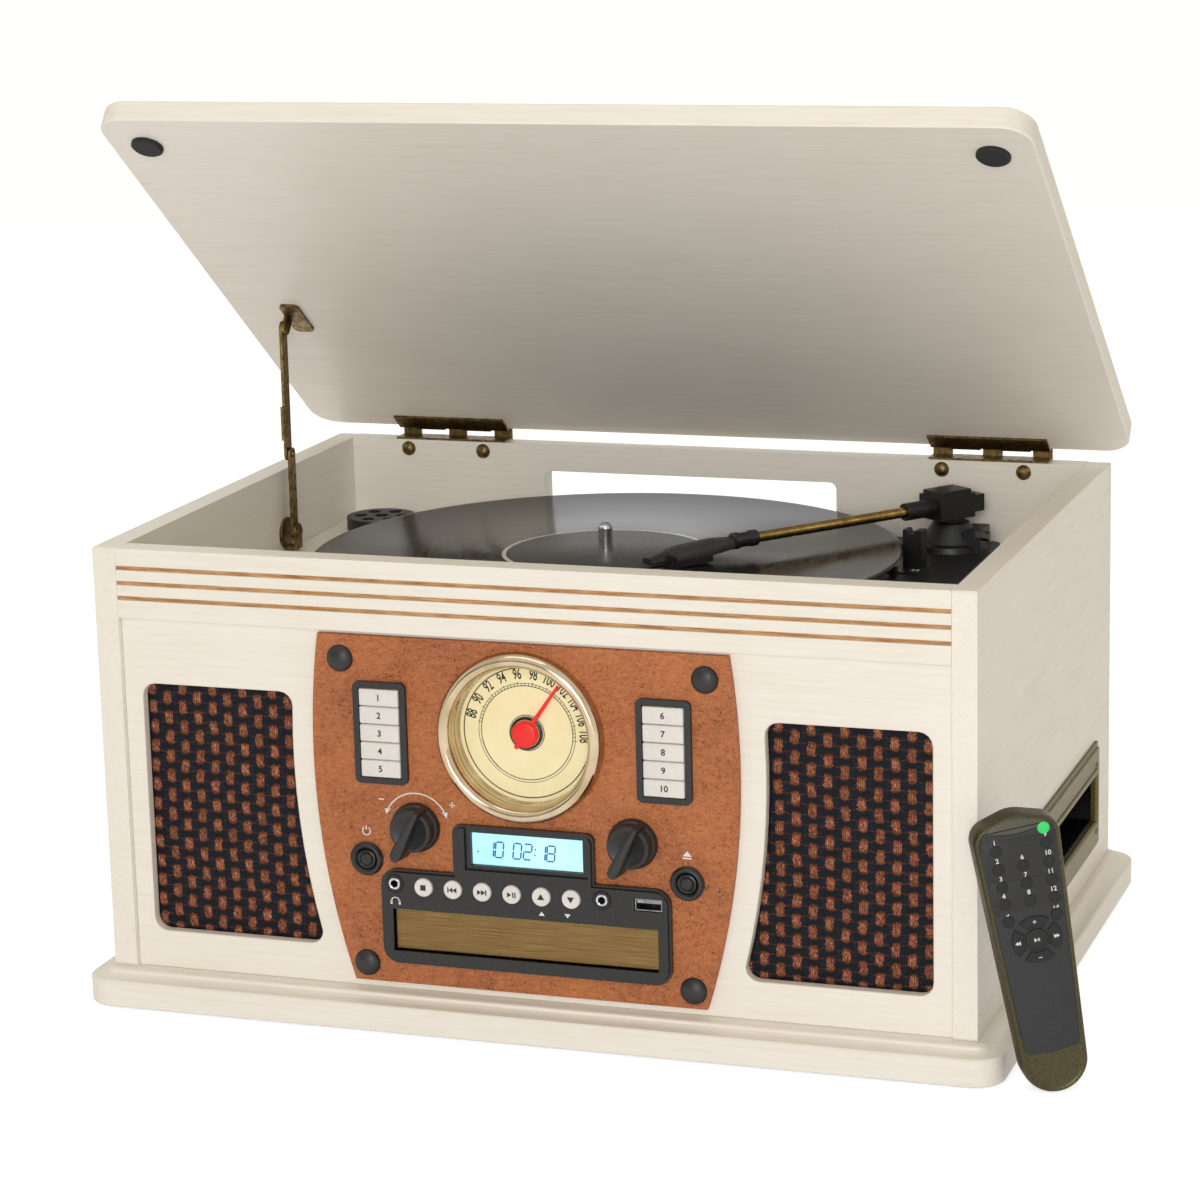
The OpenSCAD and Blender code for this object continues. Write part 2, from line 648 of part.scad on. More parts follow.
module tone_arm() color("goldenrod") placed() arm_place() {
  rod_arm(arm_r, collar_end, arm_len);
  rod_arm(4.2, arm_len - 4, arm_len + 6);
  // Headshell that tapers to the collar, with the cartridge under it
  translate([arm_len, 0, arm_z]) rotate([0, shell_droop, -shell_turn]) {
    hull() {
      translate([4, -4, -2]) cube([4, 8, 5]);
      translate([20, -7.5, -2.6]) cube([shell_len - 22, 15, 6.4]);
      translate([shell_len - 2, -6, -2.6]) cube([2, 12, 3]);
    }
    translate([22, -6, -3.3]) cube([26, 12, 1]);
    translate([shell_len - 12, 7, -1]) cube([9, 7, 1.4]);
  }
}

module cue_lever() color("black") placed() {
  rod_x(cue_y, cue_z, 1.2, cue_x - 3.7, cue_x + 1);
  rod_x(cue_y, cue_z, 2.6, cue_x + seat, cue_x + 3.8);
  translate([cue_x + seat, cue_y, cue_z]) rotate([-14, 0, 0]) {
    translate([0, -17, -1.2]) cube([3.5, 17, 2.4]);
    translate([0, -19, -1.6]) cube([4, 5, 3.2]);
  }
}

module speed_switch() color("black") placed() {
  block([switch_cx - 7, switch_cy - 3.5, deck_z - 6], [switch_cx + 2, switch_cy + 3.5, deck_z - 0.3]);
  block([switch_cx - 5.5, switch_cy - 2, deck_z - 1], [switch_cx - 1.5, switch_cy + 2, plate_z + 3.5]);
}

// Adapter for wide-holed discs, with its six cut-outs
module adapter_45() color("black") placed() translate([side_t + 29, back_y - 33, deck_z + seat]) difference() {
  cylinder(r = 19, h = 7);
  translate([0, 0, -1]) cylinder(r = spindle_r + 0.15, h = 10);
  for (i = [0:5]) rotate([0, 0, i * 60 + 12]) translate([11.5, 0, 2]) cylinder(r = 3.6, h = 6, $fn = 24);
}

// ---- Fascia ----

// Cylinder whose side is the fascia's bowed edge on one side, shrunk by g
module bow_side(s, g, y0, y1) translate([mid_x + s * (fascia_bow - fascia_half), y1 + 1, bow_z])
  rotate([90, 0, 0]) cylinder(r = fascia_bow - g, h = y1 - y0 + 2, $fn = 256);

// Outline of the disc player's bezel, shrunk by g
module bezel_shape(g, y0, y1) {
  face_plate(mid_x - bezel_w / 2 + g, bezel_z0 + g, mid_x + bezel_w / 2 - g, bezel_z1 - g, 8 - g, y0, y1);
  face_plate(mid_x - bezel_top_w / 2 + g, bezel_z1 - 20, mid_x + bezel_top_w / 2 - g, bezel_z2 - g, 4, y0, y1);
}

module fascia_panel() color("sienna") placed() difference() {
  intersection() {
    block([mid_x - fascia_half - 5, 0, fascia_z0], [mid_x + fascia_half + 5, fascia_t, fascia_z1]);
    bow_side(-1, 0, 0, fascia_t);
    bow_side(1, 0, 0, fascia_t);
  }
  rod_y(mid_x, dial_z, dial_r - 3, -1, fascia_t + 1);
  for (s = [-1, 1]) {
    face_plate(mid_x + s * keys_x - frame_w / 2 + 1.5, keys_z - frame_h / 2 + 1.5,
      mid_x + s * keys_x + frame_w / 2 - 1.5, keys_z + frame_h / 2 - 1.5, 2, -1, fascia_t + 1);
    rod_y(mid_x + s * knob_x, knob_z, 4.5, -1, fascia_t + 1);
    rod_y(mid_x + s * switch_x, switch_z, switch_ring - 1.5, -1, fascia_t + 1);
  }
  bezel_shape(1.6, -1, fascia_t + 1);
}

// Domed studs, the key frames and the rings of the two switches
module fascia_trim() color("black") placed() {
  for (s = [-1, 1], level = [0, 1]) {
    x = mid_x + s * (level == 1 ? stud_top : stud_low);
    z = level == 1 ? fascia_z1 - 11.7 : fascia_z0 + 8.9;
    turned_y(x, 0, z, concat([[0, 0], [stud_r, 0]], [for (t = [15:15:90]) [stud_r * cos(t), 3.6 * sin(t)]]));
  }
  for (s = [-1, 1]) {
    x = mid_x + s * keys_x;
    difference() {
      union() {
        face_plate(x - frame_w / 2, keys_z - frame_h / 2, x + frame_w / 2, keys_z + frame_h / 2, 3, -2.4, 0);
        face_plate(x - frame_w / 2 + 1.8, keys_z - frame_h / 2 + 1.8, x + frame_w / 2 - 1.8,
          keys_z + frame_h / 2 - 1.8, 1.5, -eps, fascia_t + 3);
      }
      block([x - key_w / 2 - 0.3, -5, keys_z - key_n * key_pitch / 2 - 0.1],
        [x + key_w / 2 + 0.3, fascia_t + 4, keys_z + key_n * key_pitch / 2 + 0.1]);
    }
    turned_y(mid_x + s * switch_x, 0, switch_z, [[switch_r + 0.3, -6], [switch_ring - 1.8, -6],
      [switch_ring - 1.8, 0], [switch_ring, 0], [switch_ring, 1.2], [switch_ring - 1, 2.4], [switch_ring - 2, 2.6],
      [switch_r + 0.3, 1.5]]);
  }
}

// One function key, and its place in its column
module function_key(side, i) color("whitesmoke") placed() {
  z = keys_z + (key_n - 1) * key_pitch / 2 - (i - 1) * key_pitch;
  x = mid_x + side * keys_x;
  block([x - key_w / 2, -3, z - key_h / 2], [x + key_w / 2, fascia_t + 4, z + key_h / 2]);
}

module switch_button(side) color("black") placed()
  turned_y(mid_x + side * switch_x, 0, switch_z, [[0, -9], [switch_r, -9], [switch_r, 1], [switch_r - 0.6, 1.8],
    [0, 1.2]]);

// Rotary knob: a skirt, a cap and the grip bar across it, with its shaft through the fascia
module rotary_knob(side) color("black") placed() translate([mid_x + side * knob_x, 0, knob_z]) rotate([90, 0, 0]) {
  translate([0, 0, -fascia_t - 9]) cylinder(r = 3, h = fascia_t + 10);
  translate([0, 0, 0.5]) cylinder(r = knob_r, h = 3.5);
  translate([0, 0, 0.5]) cylinder(r = knob_r - 1.2, h = knob_reach - 6);
  rotate([0, 0, -28]) hull() {
    translate([-3, -knob_r - 0.5, 1]) cube([6, 2 * knob_r + 1, 2]);
    translate([-2, -knob_r - 0.5, knob_reach - 2]) cube([4, 2 * knob_r + 1, 2]);
  }
}

module volume_knob() rotary_knob(-1);
module tuning_knob() rotary_knob(1);

// ---- Dial ----

module dial_bezel() color("tan") placed() turned_y(mid_x, 0, dial_z, concat(
  [[window_r, 0], [dial_r, 0]],
  [for (t = [0:18:180]) [dial_r - 3 + 3 * cos(t), 2.5 + 4 * sin(t)]], [[window_r, 1]]));

// Cup behind the bezel with the printed face as its floor
module dial_face() color("wheat") placed() difference() {
  rod_y(mid_x, dial_z, dial_r - 3.3, seat, dial_y + 1.5);
  rod_y(mid_x, dial_z, window_r, -1, dial_y);
  rod_y(mid_x, dial_z, 1.5 + shaft_gap, dial_y - 1, dial_y + 3);
}

module dial_lens() color([0.9, 0.95, 1, 0.3]) placed() rod_y(mid_x, dial_z, window_r - seat, -0.2, 1.2);

module dial_pointer() color("red") placed() {
  rod_y(mid_x, dial_z, 1.5, dial_y - 2, dial_y + 14);
  rod_y(mid_x, dial_z, 6.4, dial_y - 4, dial_y - 0.8);
  translate([mid_x, dial_y - 2.4, dial_z]) rotate([0, pointer_turn, 0])
    translate([-0.9, -0.6, -9]) cube([1.8, 1.2, 9 + pointer_len]);
}

// ---- Disc player ----

tunnel_w = tray_w - 2;
tunnel_d = tray_d + 16;

// Gloss bezel with the tray's mouth, the display window and the key holes, and the tray's guide behind it
module cd_bezel() color("black") placed() difference() {
  union() {
    bezel_shape(0, -bezel_reach + 1.2, 0);
    bezel_shape(1.2, -bezel_reach, 0);
    bezel_shape(1.8, -eps, fascia_t + 2);
    block([mid_x - tray_w / 2 - 3, fascia_t + 1, tray_z - 3], [mid_x + tray_w / 2 + 3, tunnel_d, tray_z + tray_h + 3]);
  }
  block([mid_x - tray_w / 2 - gap, -bezel_reach - 1, tray_z - gap],
    [mid_x + tray_w / 2 + gap, tunnel_d - 3, tray_z + tray_h + gap]);
  block([lcd_x - lcd_w / 2 - 3, -bezel_reach - 1, lcd_z0 - 2.5], [lcd_x + lcd_w / 2 + 3, -bezel_reach + 1.5,
    lcd_z0 + lcd_h + 2.5]);
  block([lcd_x - lcd_w / 2 - seat, -bezel_reach, lcd_z0 - seat], [lcd_x + lcd_w / 2 + seat, fascia_t + 3,
    lcd_z0 + lcd_h + seat]);
  for (i = [0:5]) rod_y(round_x0 + i * round_pitch, round_z, round_r + 0.3, -bezel_reach - 1, fascia_t + 3);
  for (x = [mid_x - jack_x, mid_x + aux_x]) rod_y(x, round_z + 0.8, 4.6, -bezel_reach - 1, fascia_t + 3);
  block([mid_x + usb_x - usb_w / 2 - 0.3, -bezel_reach - 1, round_z - usb_h / 2 - 0.3],
    [mid_x + usb_x + usb_w / 2 + 0.3, fascia_t + 3, round_z + usb_h / 2 + 0.3]);
}

module lcd_display() color("lightskyblue") placed()
  block([lcd_x - lcd_w / 2, -1, lcd_z0], [lcd_x + lcd_w / 2, fascia_t + 5, lcd_z0 + lcd_h]);

// Round socket with a bore in its nut
module round_socket(x, y, z, front, back, bore) difference() {
  union() {
    rod_y(x, z, 4.4, y - front, y + back);
    rod_y(x, z, 3, y - front - 0.8, y);
  }
  rod_y(x, z, bore, y - front - 2, y + back - 3);
}

module sockets() color("silver") placed() {
  for (x = [mid_x - jack_x, mid_x + aux_x]) round_socket(x, 0, round_z + 0.8, bezel_reach - 0.6, 12, jack_r);
  difference() {
    block([mid_x + usb_x - usb_w / 2, -bezel_reach + 0.6, round_z - usb_h / 2],
      [mid_x + usb_x + usb_w / 2, 14, round_z + usb_h / 2]);
    block([mid_x + usb_x - usb_w / 2 + 0.5, -bezel_reach, round_z - usb_h / 2 + 0.5],
      [mid_x + usb_x + usb_w / 2 - 0.5, 11, round_z + usb_h / 2 - 0.5]);
  }
  block([mid_x + usb_x - usb_w / 2 + 0.8, -bezel_reach + 1.5, round_z + 0.6],
    [mid_x + usb_x + usb_w / 2 - 0.8, 12, round_z + 2.4]);
  // Phono sockets and the mains lead's gland in the back
  for (x = phono_x) translate([x, body_d, rear_z]) rotate([-90, 0, 0]) {
    translate([0, 0, -back_t - 3]) cylinder(r = 4.9, h = back_t + 3);
    cylinder(r = 6.5, h = 1.5);
    difference() {
      cylinder(r = 4.1, h = 9);
      translate([0, 0, 2]) cylinder(r = 1.6, h = 10);
    }
  }
  translate([inlet_x, body_d, rear_z]) rotate([-90, 0, 0]) {
    translate([0, 0, -back_t - 4]) cylinder(r = 7.9, h = back_t + 4);
    cylinder(r = 10, h = 3);
    cylinder(r = 6, h = 9);
  }
}

module cd_tray() color("darkgoldenrod") placed() difference() {
  union() {
    block([mid_x - tray_w / 2, -1.5, tray_z], [mid_x + tray_w / 2, 2.5, tray_z + tray_h]);
    block([mid_x - tray_w / 2 + 1, 2, tray_z + tray_floor], [mid_x + tray_w / 2 - 1, tray_d, tray_z + tray_floor + 7]);
  }
  translate([mid_x, 68, tray_z + tray_floor + 4.5]) cylinder(r = 60.5, h = 6);
  translate([mid_x, 68, tray_z + tray_floor + 3]) cylinder(r = 40.5, h = 6);
  block([mid_x - 17, 68, tray_z], [mid_x + 17, tray_d + 1, tray_z + 12]);
}

module transport_key(i) color("whitesmoke") placed()
  turned_y(round_x0 + (i - 1) * round_pitch, 0, round_z, [[0, -11], [round_r, -11], [round_r, bezel_reach + 0.2],
    [round_r - 0.5, bezel_reach + 0.9], [0, bezel_reach + 1.2]]);

// Board behind the controls, held to the baffle by the four posts round the dial
module circuit_board() color("darkgreen") placed() difference() {
  union() {
    block([mid_x - well_half - 5, 17, keys_z - 34], [mid_x + well_half + 5, 18.6, keys_z + 28]);
    for (s = [-1, 1], z = [keys_z - 30, keys_z + 25]) rod_y(mid_x + s * (well_half + 2.5), z, 2, cloth_y, 17 + eps);
  }
  rod_y(mid_x, dial_z, 4, 15, 20);
}

// ---- Cassette slot ----

module cassette_plate() color("darkkhaki") placed() difference() {
  union() {
    block([body_w, cassette_y0, cassette_z - cassette_h / 2], [body_w + 1.4, cassette_y1, cassette_z + cassette_h / 2]);
    block([body_w + 1.4 - eps, cassette_y0 + 2.5, cassette_z - cassette_h / 2 + 2.5],
      [body_w + 2.6, cassette_y1 - 2.5, cassette_z + cassette_h / 2 - 2.5]);
    block([body_w - side_t, cassette_y - mouth_w / 2 - 3.5, cassette_z - mouth_h / 2 - 3.5],
      [body_w + 1, cassette_y + mouth_w / 2 + 3.5, cassette_z + mouth_h / 2 + 3.5]);
  }
  block([body_w - side_t - 1, cassette_y - mouth_w / 2, cassette_z - mouth_h / 2],
    [body_w + 4, cassette_y + mouth_w / 2, cassette_z + mouth_h / 2]);
}

// Housing behind the mouth, open to it, with two reel hubs
module cassette_mechanism() color("dimgray") placed() {
  x1 = body_w - side_t - seat;
  difference() {
    block([x1 - 72, cassette_y - mouth_w / 2 - 4, cassette_z - mouth_h / 2 - 6], [x1, cassette_y + mouth_w / 2 + 4,
      cassette_z + mouth_h / 2 + 3]);
    block([x1 - 68, cassette_y - mouth_w / 2, cassette_z - mouth_h / 2], [x1 + 1, cassette_y + mouth_w / 2,
      cassette_z + mouth_h / 2]);
  }
  for (s = [-1, 1]) translate([x1 - 36, cassette_y + s * 21.2, cassette_z - mouth_h / 2 - 1]) cylinder(r = 3.2, h = 9);
}

// ---- Handset ----

module remote_control() color("darkolivegreen") placed()
  translate([remote_x, remote_y, remote_r]) rotate([0, -remote_lean, remote_yaw]) {
    remote_half(-remote_t + rim, 0, 0);
    remote_half(-remote_t, -remote_t + rim + eps, 2);
  }

// Layer of the case from the plane y0 to the plane y1, drawn in by g
module remote_half(y0, y1, g) hull() {
  end_z = remote_len - remote_r;
  top_r = 9;
  crown_r = 17;
  for (p = [[0, 0, remote_r], [top_r - remote_w / 2, end_z - top_r - 3, top_r],
    [remote_w / 2 - top_r, end_z - top_r - 3, top_r], [0, end_z - crown_r, crown_r]])
    translate([p[0], y1, p[1]]) rotate([90, 0, 0]) cylinder(r = p[2] - g, h = y1 - y0, $fn = 40);
}

module power_button() switch_button(-1);
module eject_button() switch_button(1);

base_board();
rubber_feet();
left_side_panel();
right_side_panel();
back_panel();
front_frieze();
front_baffle();
motor_board();
deck_plate();
spindle();
drive_motor();
cabinet_fittings();
fascia_panel();
fascia_trim();
dial_bezel();
dial_face();
dial_lens();
cd_bezel();
lcd_display();
sockets();
speaker_cloths();
speaker_drivers();
cassette_plate();
cassette_mechanism();
circuit_board();
adapter_45();
platter();
record();
tonearm_turret();
tonearm_housing();
tone_arm();
cue_lever();
speed_switch();
lid_board();
lid_fittings();
stay_upper_link();
stay_lower_link();
dial_pointer();
volume_knob();
tuning_knob();
cd_tray();
power_button();
eject_button();
function_key(-1, 1);  // key_left_1
function_key(-1, 2);  // key_left_2
function_key(-1, 3);  // key_left_3
function_key(-1, 4);  // key_left_4
function_key(-1, 5);  // key_left_5
function_key(1, 1);  // key_right_1
function_key(1, 2);  // key_right_2
function_key(1, 3);  // key_right_3
function_key(1, 4);  // key_right_4
function_key(1, 5);  // key_right_5
transport_key(1);  // transport_1
transport_key(2);  // transport_2
transport_key(3);  // transport_3
transport_key(4);  // transport_4
transport_key(5);  // transport_5
transport_key(6);  // transport_6
remote_control();
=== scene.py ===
import bpy
import bmesh
import math
import numpy as np
from mathutils import Matrix, Vector


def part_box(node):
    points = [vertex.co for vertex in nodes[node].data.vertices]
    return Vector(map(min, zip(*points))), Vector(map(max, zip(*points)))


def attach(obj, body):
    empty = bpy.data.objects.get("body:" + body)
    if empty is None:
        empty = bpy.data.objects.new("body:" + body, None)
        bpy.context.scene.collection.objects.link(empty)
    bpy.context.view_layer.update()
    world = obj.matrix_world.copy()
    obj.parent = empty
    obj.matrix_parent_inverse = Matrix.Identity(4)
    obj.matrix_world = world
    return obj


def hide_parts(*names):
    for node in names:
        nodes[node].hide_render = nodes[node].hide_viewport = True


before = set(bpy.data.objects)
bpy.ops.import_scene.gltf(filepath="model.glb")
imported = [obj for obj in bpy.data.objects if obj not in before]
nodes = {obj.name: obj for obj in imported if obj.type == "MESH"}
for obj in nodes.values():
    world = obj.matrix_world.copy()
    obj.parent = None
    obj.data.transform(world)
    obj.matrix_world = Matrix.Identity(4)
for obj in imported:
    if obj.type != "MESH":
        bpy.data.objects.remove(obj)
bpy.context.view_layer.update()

# Cabinet coordinates in millimetres: x from the left side, y from the front edge, z from the floor
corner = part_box("left_side_panel")[0]
shiftX, shiftY = corner[0], corner[1]
cabinet = {"width": 435.0, "midX": 217.5}


def here(points):
    # millimetres in the cabinet to metres in the scene
    p = np.asarray(points, float) / 1000.0
    return p + np.array([shiftX, shiftY, 0.0])


cameraSet = {"spot": (784.906, -1520.636, 590.412), "yaw": 0.33350, "pitch": -0.22700, "roll": -0.02480,
             "focal": 3597.842, "image": 1200.0}


def makeCamera(s):
    cam = bpy.data.objects.new("studioCamera", bpy.data.cameras.new("studioCamera"))
    bpy.context.scene.collection.objects.link(cam)
    y, p, r = (s[k] for k in ("yaw", "pitch", "roll"))
    right = Vector((math.cos(y), math.sin(y), 0))
    ahead = Vector((-math.sin(y) * math.cos(p), math.cos(y) * math.cos(p), math.sin(p)))
    up = right.cross(ahead)
    side = right * math.cos(r) + up * math.sin(r)
    over = up * math.cos(r) - right * math.sin(r)
    m = Matrix((side, over, -ahead)).transposed().to_4x4()
    m.translation = Vector(here(s["spot"]))
    cam.matrix_world = m
    cam.data.sensor_width = 36.0
    cam.data.lens = 36.0 * s["focal"] / s["image"]
    cam.data.clip_start, cam.data.clip_end = 0.05, 30.0
    bpy.context.scene.camera = cam


makeCamera(cameraSet)
bpy.context.scene.view_settings.view_transform = "Standard"


def node(t, kind, **values):
    n = t.nodes.new("ShaderNode" + kind)
    for k, v in values.items():
        if hasattr(n, k):
            setattr(n, k, v)
        else:
            n.inputs[k.replace("_", " ")].default_value = v
    return n


def maths(t, op, a, b=None):
    n = node(t, "Math", operation=op)
    for i, v in enumerate((a, b)):
        if v is None:
            continue
        if isinstance(v, (int, float)):
            n.inputs[i].default_value = v
        else:
            t.links.new(v, n.inputs[i])
    return n.outputs[0]


def grey(v):
    return (v, v, v, 1.0)


def blendColours(t, fac, a, b):
    # colour a where fac is 0 and b where it is 1, each a colour or an output
    m = node(t, "Mix", data_type="RGBA")
    for slot, v in ((6, a), (7, b)):
        if isinstance(v, tuple):
            m.inputs[slot].default_value = v
        else:
            t.links.new(v, m.inputs[slot])
    t.links.new(fac, m.inputs[0])
    return m.outputs[2]


def seenRays(t):
    # 1 for the rays that show the backdrop: from the camera, off a polished face or through a clear one
    path = node(t, "LightPath")
    seen = maths(t, "MAXIMUM", path.outputs["Is Camera Ray"], path.outputs["Is Glossy Ray"])
    return maths(t, "MAXIMUM", seen, path.outputs["Is Transmission Ray"])


lightSet = {"world": 0.46, "tint": (1.0, 0.85, 0.62), "lamps": [
    # name, place in metres, aim, size, power
    ("keyLamp", (0.6, -2.5, 1.15), (0.0, 0.0, 0.12), 1.1, 18.0),
    ("lowLamp", (0.5, -2.7, 0.30), (0.1, 0.2, 0.28), 1.3, 20.0),
    ("topLamp", (-0.3, 0.1, 2.4), (0.0, 0.0, 0.2), 1.5, 9.0)]}


def makeLights(s):
    for name, place, aim, size, power in s["lamps"]:
        data = bpy.data.lights.new(name, "AREA")
        data.size, data.energy = size, power
        lamp = bpy.data.objects.new(name, data)
        bpy.context.scene.collection.objects.link(lamp)
        lamp.location = place
        lamp.rotation_euler = (Vector(aim) - Vector(place)).to_track_quat("-Z", "Y").to_euler()
    world = bpy.data.worlds.new("softRoom")
    bpy.context.scene.world = world
    world.use_nodes = True
    t = world.node_tree
    soft = tuple(c * s["world"] for c in s["tint"]) + (1.0,)
    t.links.new(blendColours(t, seenRays(t), soft, (1.0, 1.0, 1.0, 1.0)), t.nodes["Background"].inputs[0])


makeLights(lightSet)
print("camera and lights")

# the scene's linear colour for an sRGB one of 0 to 255
srgb = lambda r, g, b: tuple(((c / 255 + 0.055) / 1.055) ** 2.4 if c > 10 else c / 255 / 12.92
                             for c in (r, g, b)) + (1.0,)


def newMaterial(name):
    m = bpy.data.materials.new(name)
    m.use_nodes = True
    return m, m.node_tree, m.node_tree.nodes["Principled BSDF"]


def coords(t, stretch=(1, 1, 1), source="Object", turn=(0, 0, 0), offset=(0, 0, 0)):
    c = node(t, "TexCoord")
    m = node(t, "Mapping")
    m.inputs["Location"].default_value = offset
    m.inputs["Rotation"].default_value = turn
    m.inputs["Scale"].default_value = stretch
    t.links.new(c.outputs[source], m.inputs["Vector"])
    return m.outputs["Vector"]


def noise(t, where, scale, detail=4.0, rough=0.55):
    n = node(t, "TexNoise", Scale=scale, Detail=detail, Roughness=rough)
    t.links.new(where, n.inputs["Vector"])
    return n.outputs["Fac"]


def ramp(t, fac, stops):
    r = node(t, "ValToRGB")
    e = r.color_ramp.elements
    e[0].position, e[0].color = stops[0]
    e[1].position, e[1].color = stops[-1]
    for p, c in stops[1:-1]:
        e.new(p).color = c
    t.links.new(fac, r.inputs["Fac"])
    return r.outputs["Color"]


def bumped(t, bsdf, height, strength, distance):
    b = node(t, "Bump", Strength=strength, Distance=distance)
    t.links.new(height, b.inputs["Height"])
    t.links.new(b.outputs["Normal"], bsdf.inputs["Normal"])


def lacquer(name, along, base, shade, pale):
    # painted wood: brush lines that run along one axis and a faint mottling, which shift the cream between a darker and
    # a paler tone
    m, t, b = newMaterial(name)
    stretch = [90.0, 90.0, 90.0]
    stretch["xyz".index(along)] = 4.0
    lines = noise(t, coords(t, stretch), 6.0, 6.0, 0.62)
    mottle = noise(t, coords(t), 9.0, 3.0)
    tone = maths(t, "ADD", maths(t, "MULTIPLY", lines, 0.65), maths(t, "MULTIPLY", mottle, 0.35))
    colour = ramp(t, tone, [(0.30, shade), (0.5, base), (0.72, pale)])
    t.links.new(colour, b.inputs["Base Color"])
    rough = ramp(t, lines, [(0.3, grey(0.50)), (0.7, grey(0.36))])
    t.links.new(rough, b.inputs["Roughness"])
    b.inputs["Coat Weight"].default_value = 0.15
    b.inputs["Coat Roughness"].default_value = 0.3
    bumped(t, b, lines, 0.16, 0.0006)
    return m


cream = dict(base=srgb(239, 235, 227), shade=srgb(232, 227, 217), pale=srgb(243, 240, 233))
creamAlongX = lacquer("creamLacquerAlongX", "x", **cream)
creamAlongY = lacquer("creamLacquerAlongY", "y", **cream)


def rawWoodFinish():
    m, t, b = newMaterial("rawWoodGroove")
    grain = noise(t, coords(t, (40, 400, 400)), 2.0, 5.0)
    t.links.new(ramp(t, grain, [(0.3, srgb(150, 104, 62)), (0.5, srgb(186, 140, 92)), (0.7, srgb(212, 170, 120))]),
                b.inputs["Base Color"])
    b.inputs["Roughness"].default_value = 0.8
    bumped(t, b, grain, 0.5, 0.0005)
    return m


def leatherFinish():
    # embossed hide: small pits and short creases in the bump, painted shade that darkens the hollows, a warm uneven dye
    m, t, b = newMaterial("saddleLeather")
    where = coords(t, (1.0, 1.0, 1.0))
    warp = node(t, "TexNoise", Scale=160.0, Detail=3.0)
    t.links.new(where, warp.inputs["Vector"])
    bend = node(t, "VectorMath", operation="MULTIPLY_ADD")
    t.links.new(warp.outputs["Color"], bend.inputs[0])
    bend.inputs[1].default_value = (0.010, 0.010, 0.010)
    t.links.new(where, bend.inputs[2])
    cell = node(t, "TexVoronoi", feature="DISTANCE_TO_EDGE", Scale=420.0)
    t.links.new(bend.outputs[0], cell.inputs["Vector"])
    crease = ramp(t, cell.outputs["Distance"], [(0.0, grey(0.0)), (0.22, grey(1.0))])
    pits = node(t, "TexVoronoi", feature="F1", Scale=760.0)
    t.links.new(bend.outputs[0], pits.inputs["Vector"])
    pit = ramp(t, pits.outputs["Distance"], [(0.10, grey(0.0)), (0.42, grey(1.0))])
    lines = noise(t, coords(t, (1, 1, 2.6), turn=(0, 0.25, 0)), 230.0, 4.0, 0.6)
    height = maths(t, "ADD", maths(t, "MULTIPLY", crease, 0.22), maths(t, "MULTIPLY", pit, 0.40))
    height = maths(t, "ADD", height, maths(t, "MULTIPLY", lines, 0.80))
    dye = noise(t, where, 30.0, 5.0, 0.6)
    # tone is the dye plus the bump height, so pits and creases come out darker: this darkening is painted shade
    tone = maths(t, "ADD", maths(t, "MULTIPLY", dye, 0.45), maths(t, "MULTIPLY", height, 0.48))
    t.links.new(ramp(t, tone, [(0.42, srgb(92, 46, 20)), (0.56, srgb(158, 88, 44)), (0.78, srgb(188, 114, 62))]),
                b.inputs["Base Color"])
    t.links.new(ramp(t, height, [(0.3, grey(0.66)), (1.0, grey(0.44))]), b.inputs["Roughness"])
    bumped(t, b, height, 0.60, 0.0007)
    return m


def mouldedBlack(name, colour=srgb(24, 24, 26), rough=0.42, grain=900.0, strength=0.1):
    m, t, b = newMaterial(name)
    n = noise(t, coords(t), grain, 3.0)
    t.links.new(ramp(t, n, [(0.3, tuple(c * 0.85 for c in colour[:3]) + (1,)), (0.7, colour)]), b.inputs["Base Color"])
    t.links.new(ramp(t, n, [(0.3, grey(rough + 0.08)), (0.7, grey(rough - 0.05))]), b.inputs["Roughness"])
    bumped(t, b, n, strength, 0.0003)
    return m


def metalFinish(name, dark, light, rough, stretch=(1, 1, 1), scale=300.0, strength=0.1, coat=0.0):
    m, t, b = newMaterial(name)
    n = noise(t, coords(t, stretch), scale, 5.0, 0.6)
    t.links.new(ramp(t, n, [(0.32, dark), (0.68, light)]), b.inputs["Base Color"])
    t.links.new(ramp(t, n, [(0.3, grey(min(1.0, rough + 0.12))), (0.7, grey(max(0.02, rough - 0.06)))]),
                b.inputs["Roughness"])
    b.inputs["Metallic"].default_value = 1.0
    b.inputs["Coat Weight"].default_value = coat
    bumped(t, b, n, strength, 0.0002)
    return m


rawWood = rawWoodFinish()
leather = leatherFinish()
satinBlack = mouldedBlack("satinBlackPlastic")
glossBlack = mouldedBlack("glossBlackPlastic", srgb(9, 9, 10), 0.24, 600.0, 0.03)
knobBlack = mouldedBlack("knobBlackPlastic", srgb(30, 30, 31), 0.38, 1200.0, 0.12)
feetRubber = mouldedBlack("feetRubber", srgb(22, 22, 22), 0.75)
agedBrass = metalFinish("agedBrass", srgb(78, 62, 36), srgb(150, 126, 80), 0.38, scale=420.0, strength=0.22)
warmChrome = metalFinish("warmChrome", srgb(178, 158, 126), srgb(206, 188, 160), 0.06, scale=60.0, strength=0.01)
armBrass = metalFinish("armBrass", srgb(140, 112, 58), srgb(190, 160, 96), 0.24, scale=200.0, strength=0.05)
bareSteel = metalFinish("bareSteel", srgb(170, 170, 172), srgb(222, 222, 224), 0.2, scale=300.0, strength=0.05)
socketSteel = metalFinish("socketSteel", srgb(104, 104, 108), srgb(150, 150, 154), 0.26, scale=300.0, strength=0.05)
trayBrass = metalFinish("brushedTrayBrass", srgb(98, 78, 46), srgb(140, 114, 74), 0.4, (14, 900, 900), 3.0, 0.25)
plateBronze = metalFinish("plateBronze", srgb(88, 78, 48), srgb(124, 112, 76), 0.45, (30, 300, 300), 8.0, 0.12)
caseBronze = metalFinish("caseBronze", srgb(60, 56, 40), srgb(90, 85, 63), 0.42, scale=1500.0, strength=0.2)


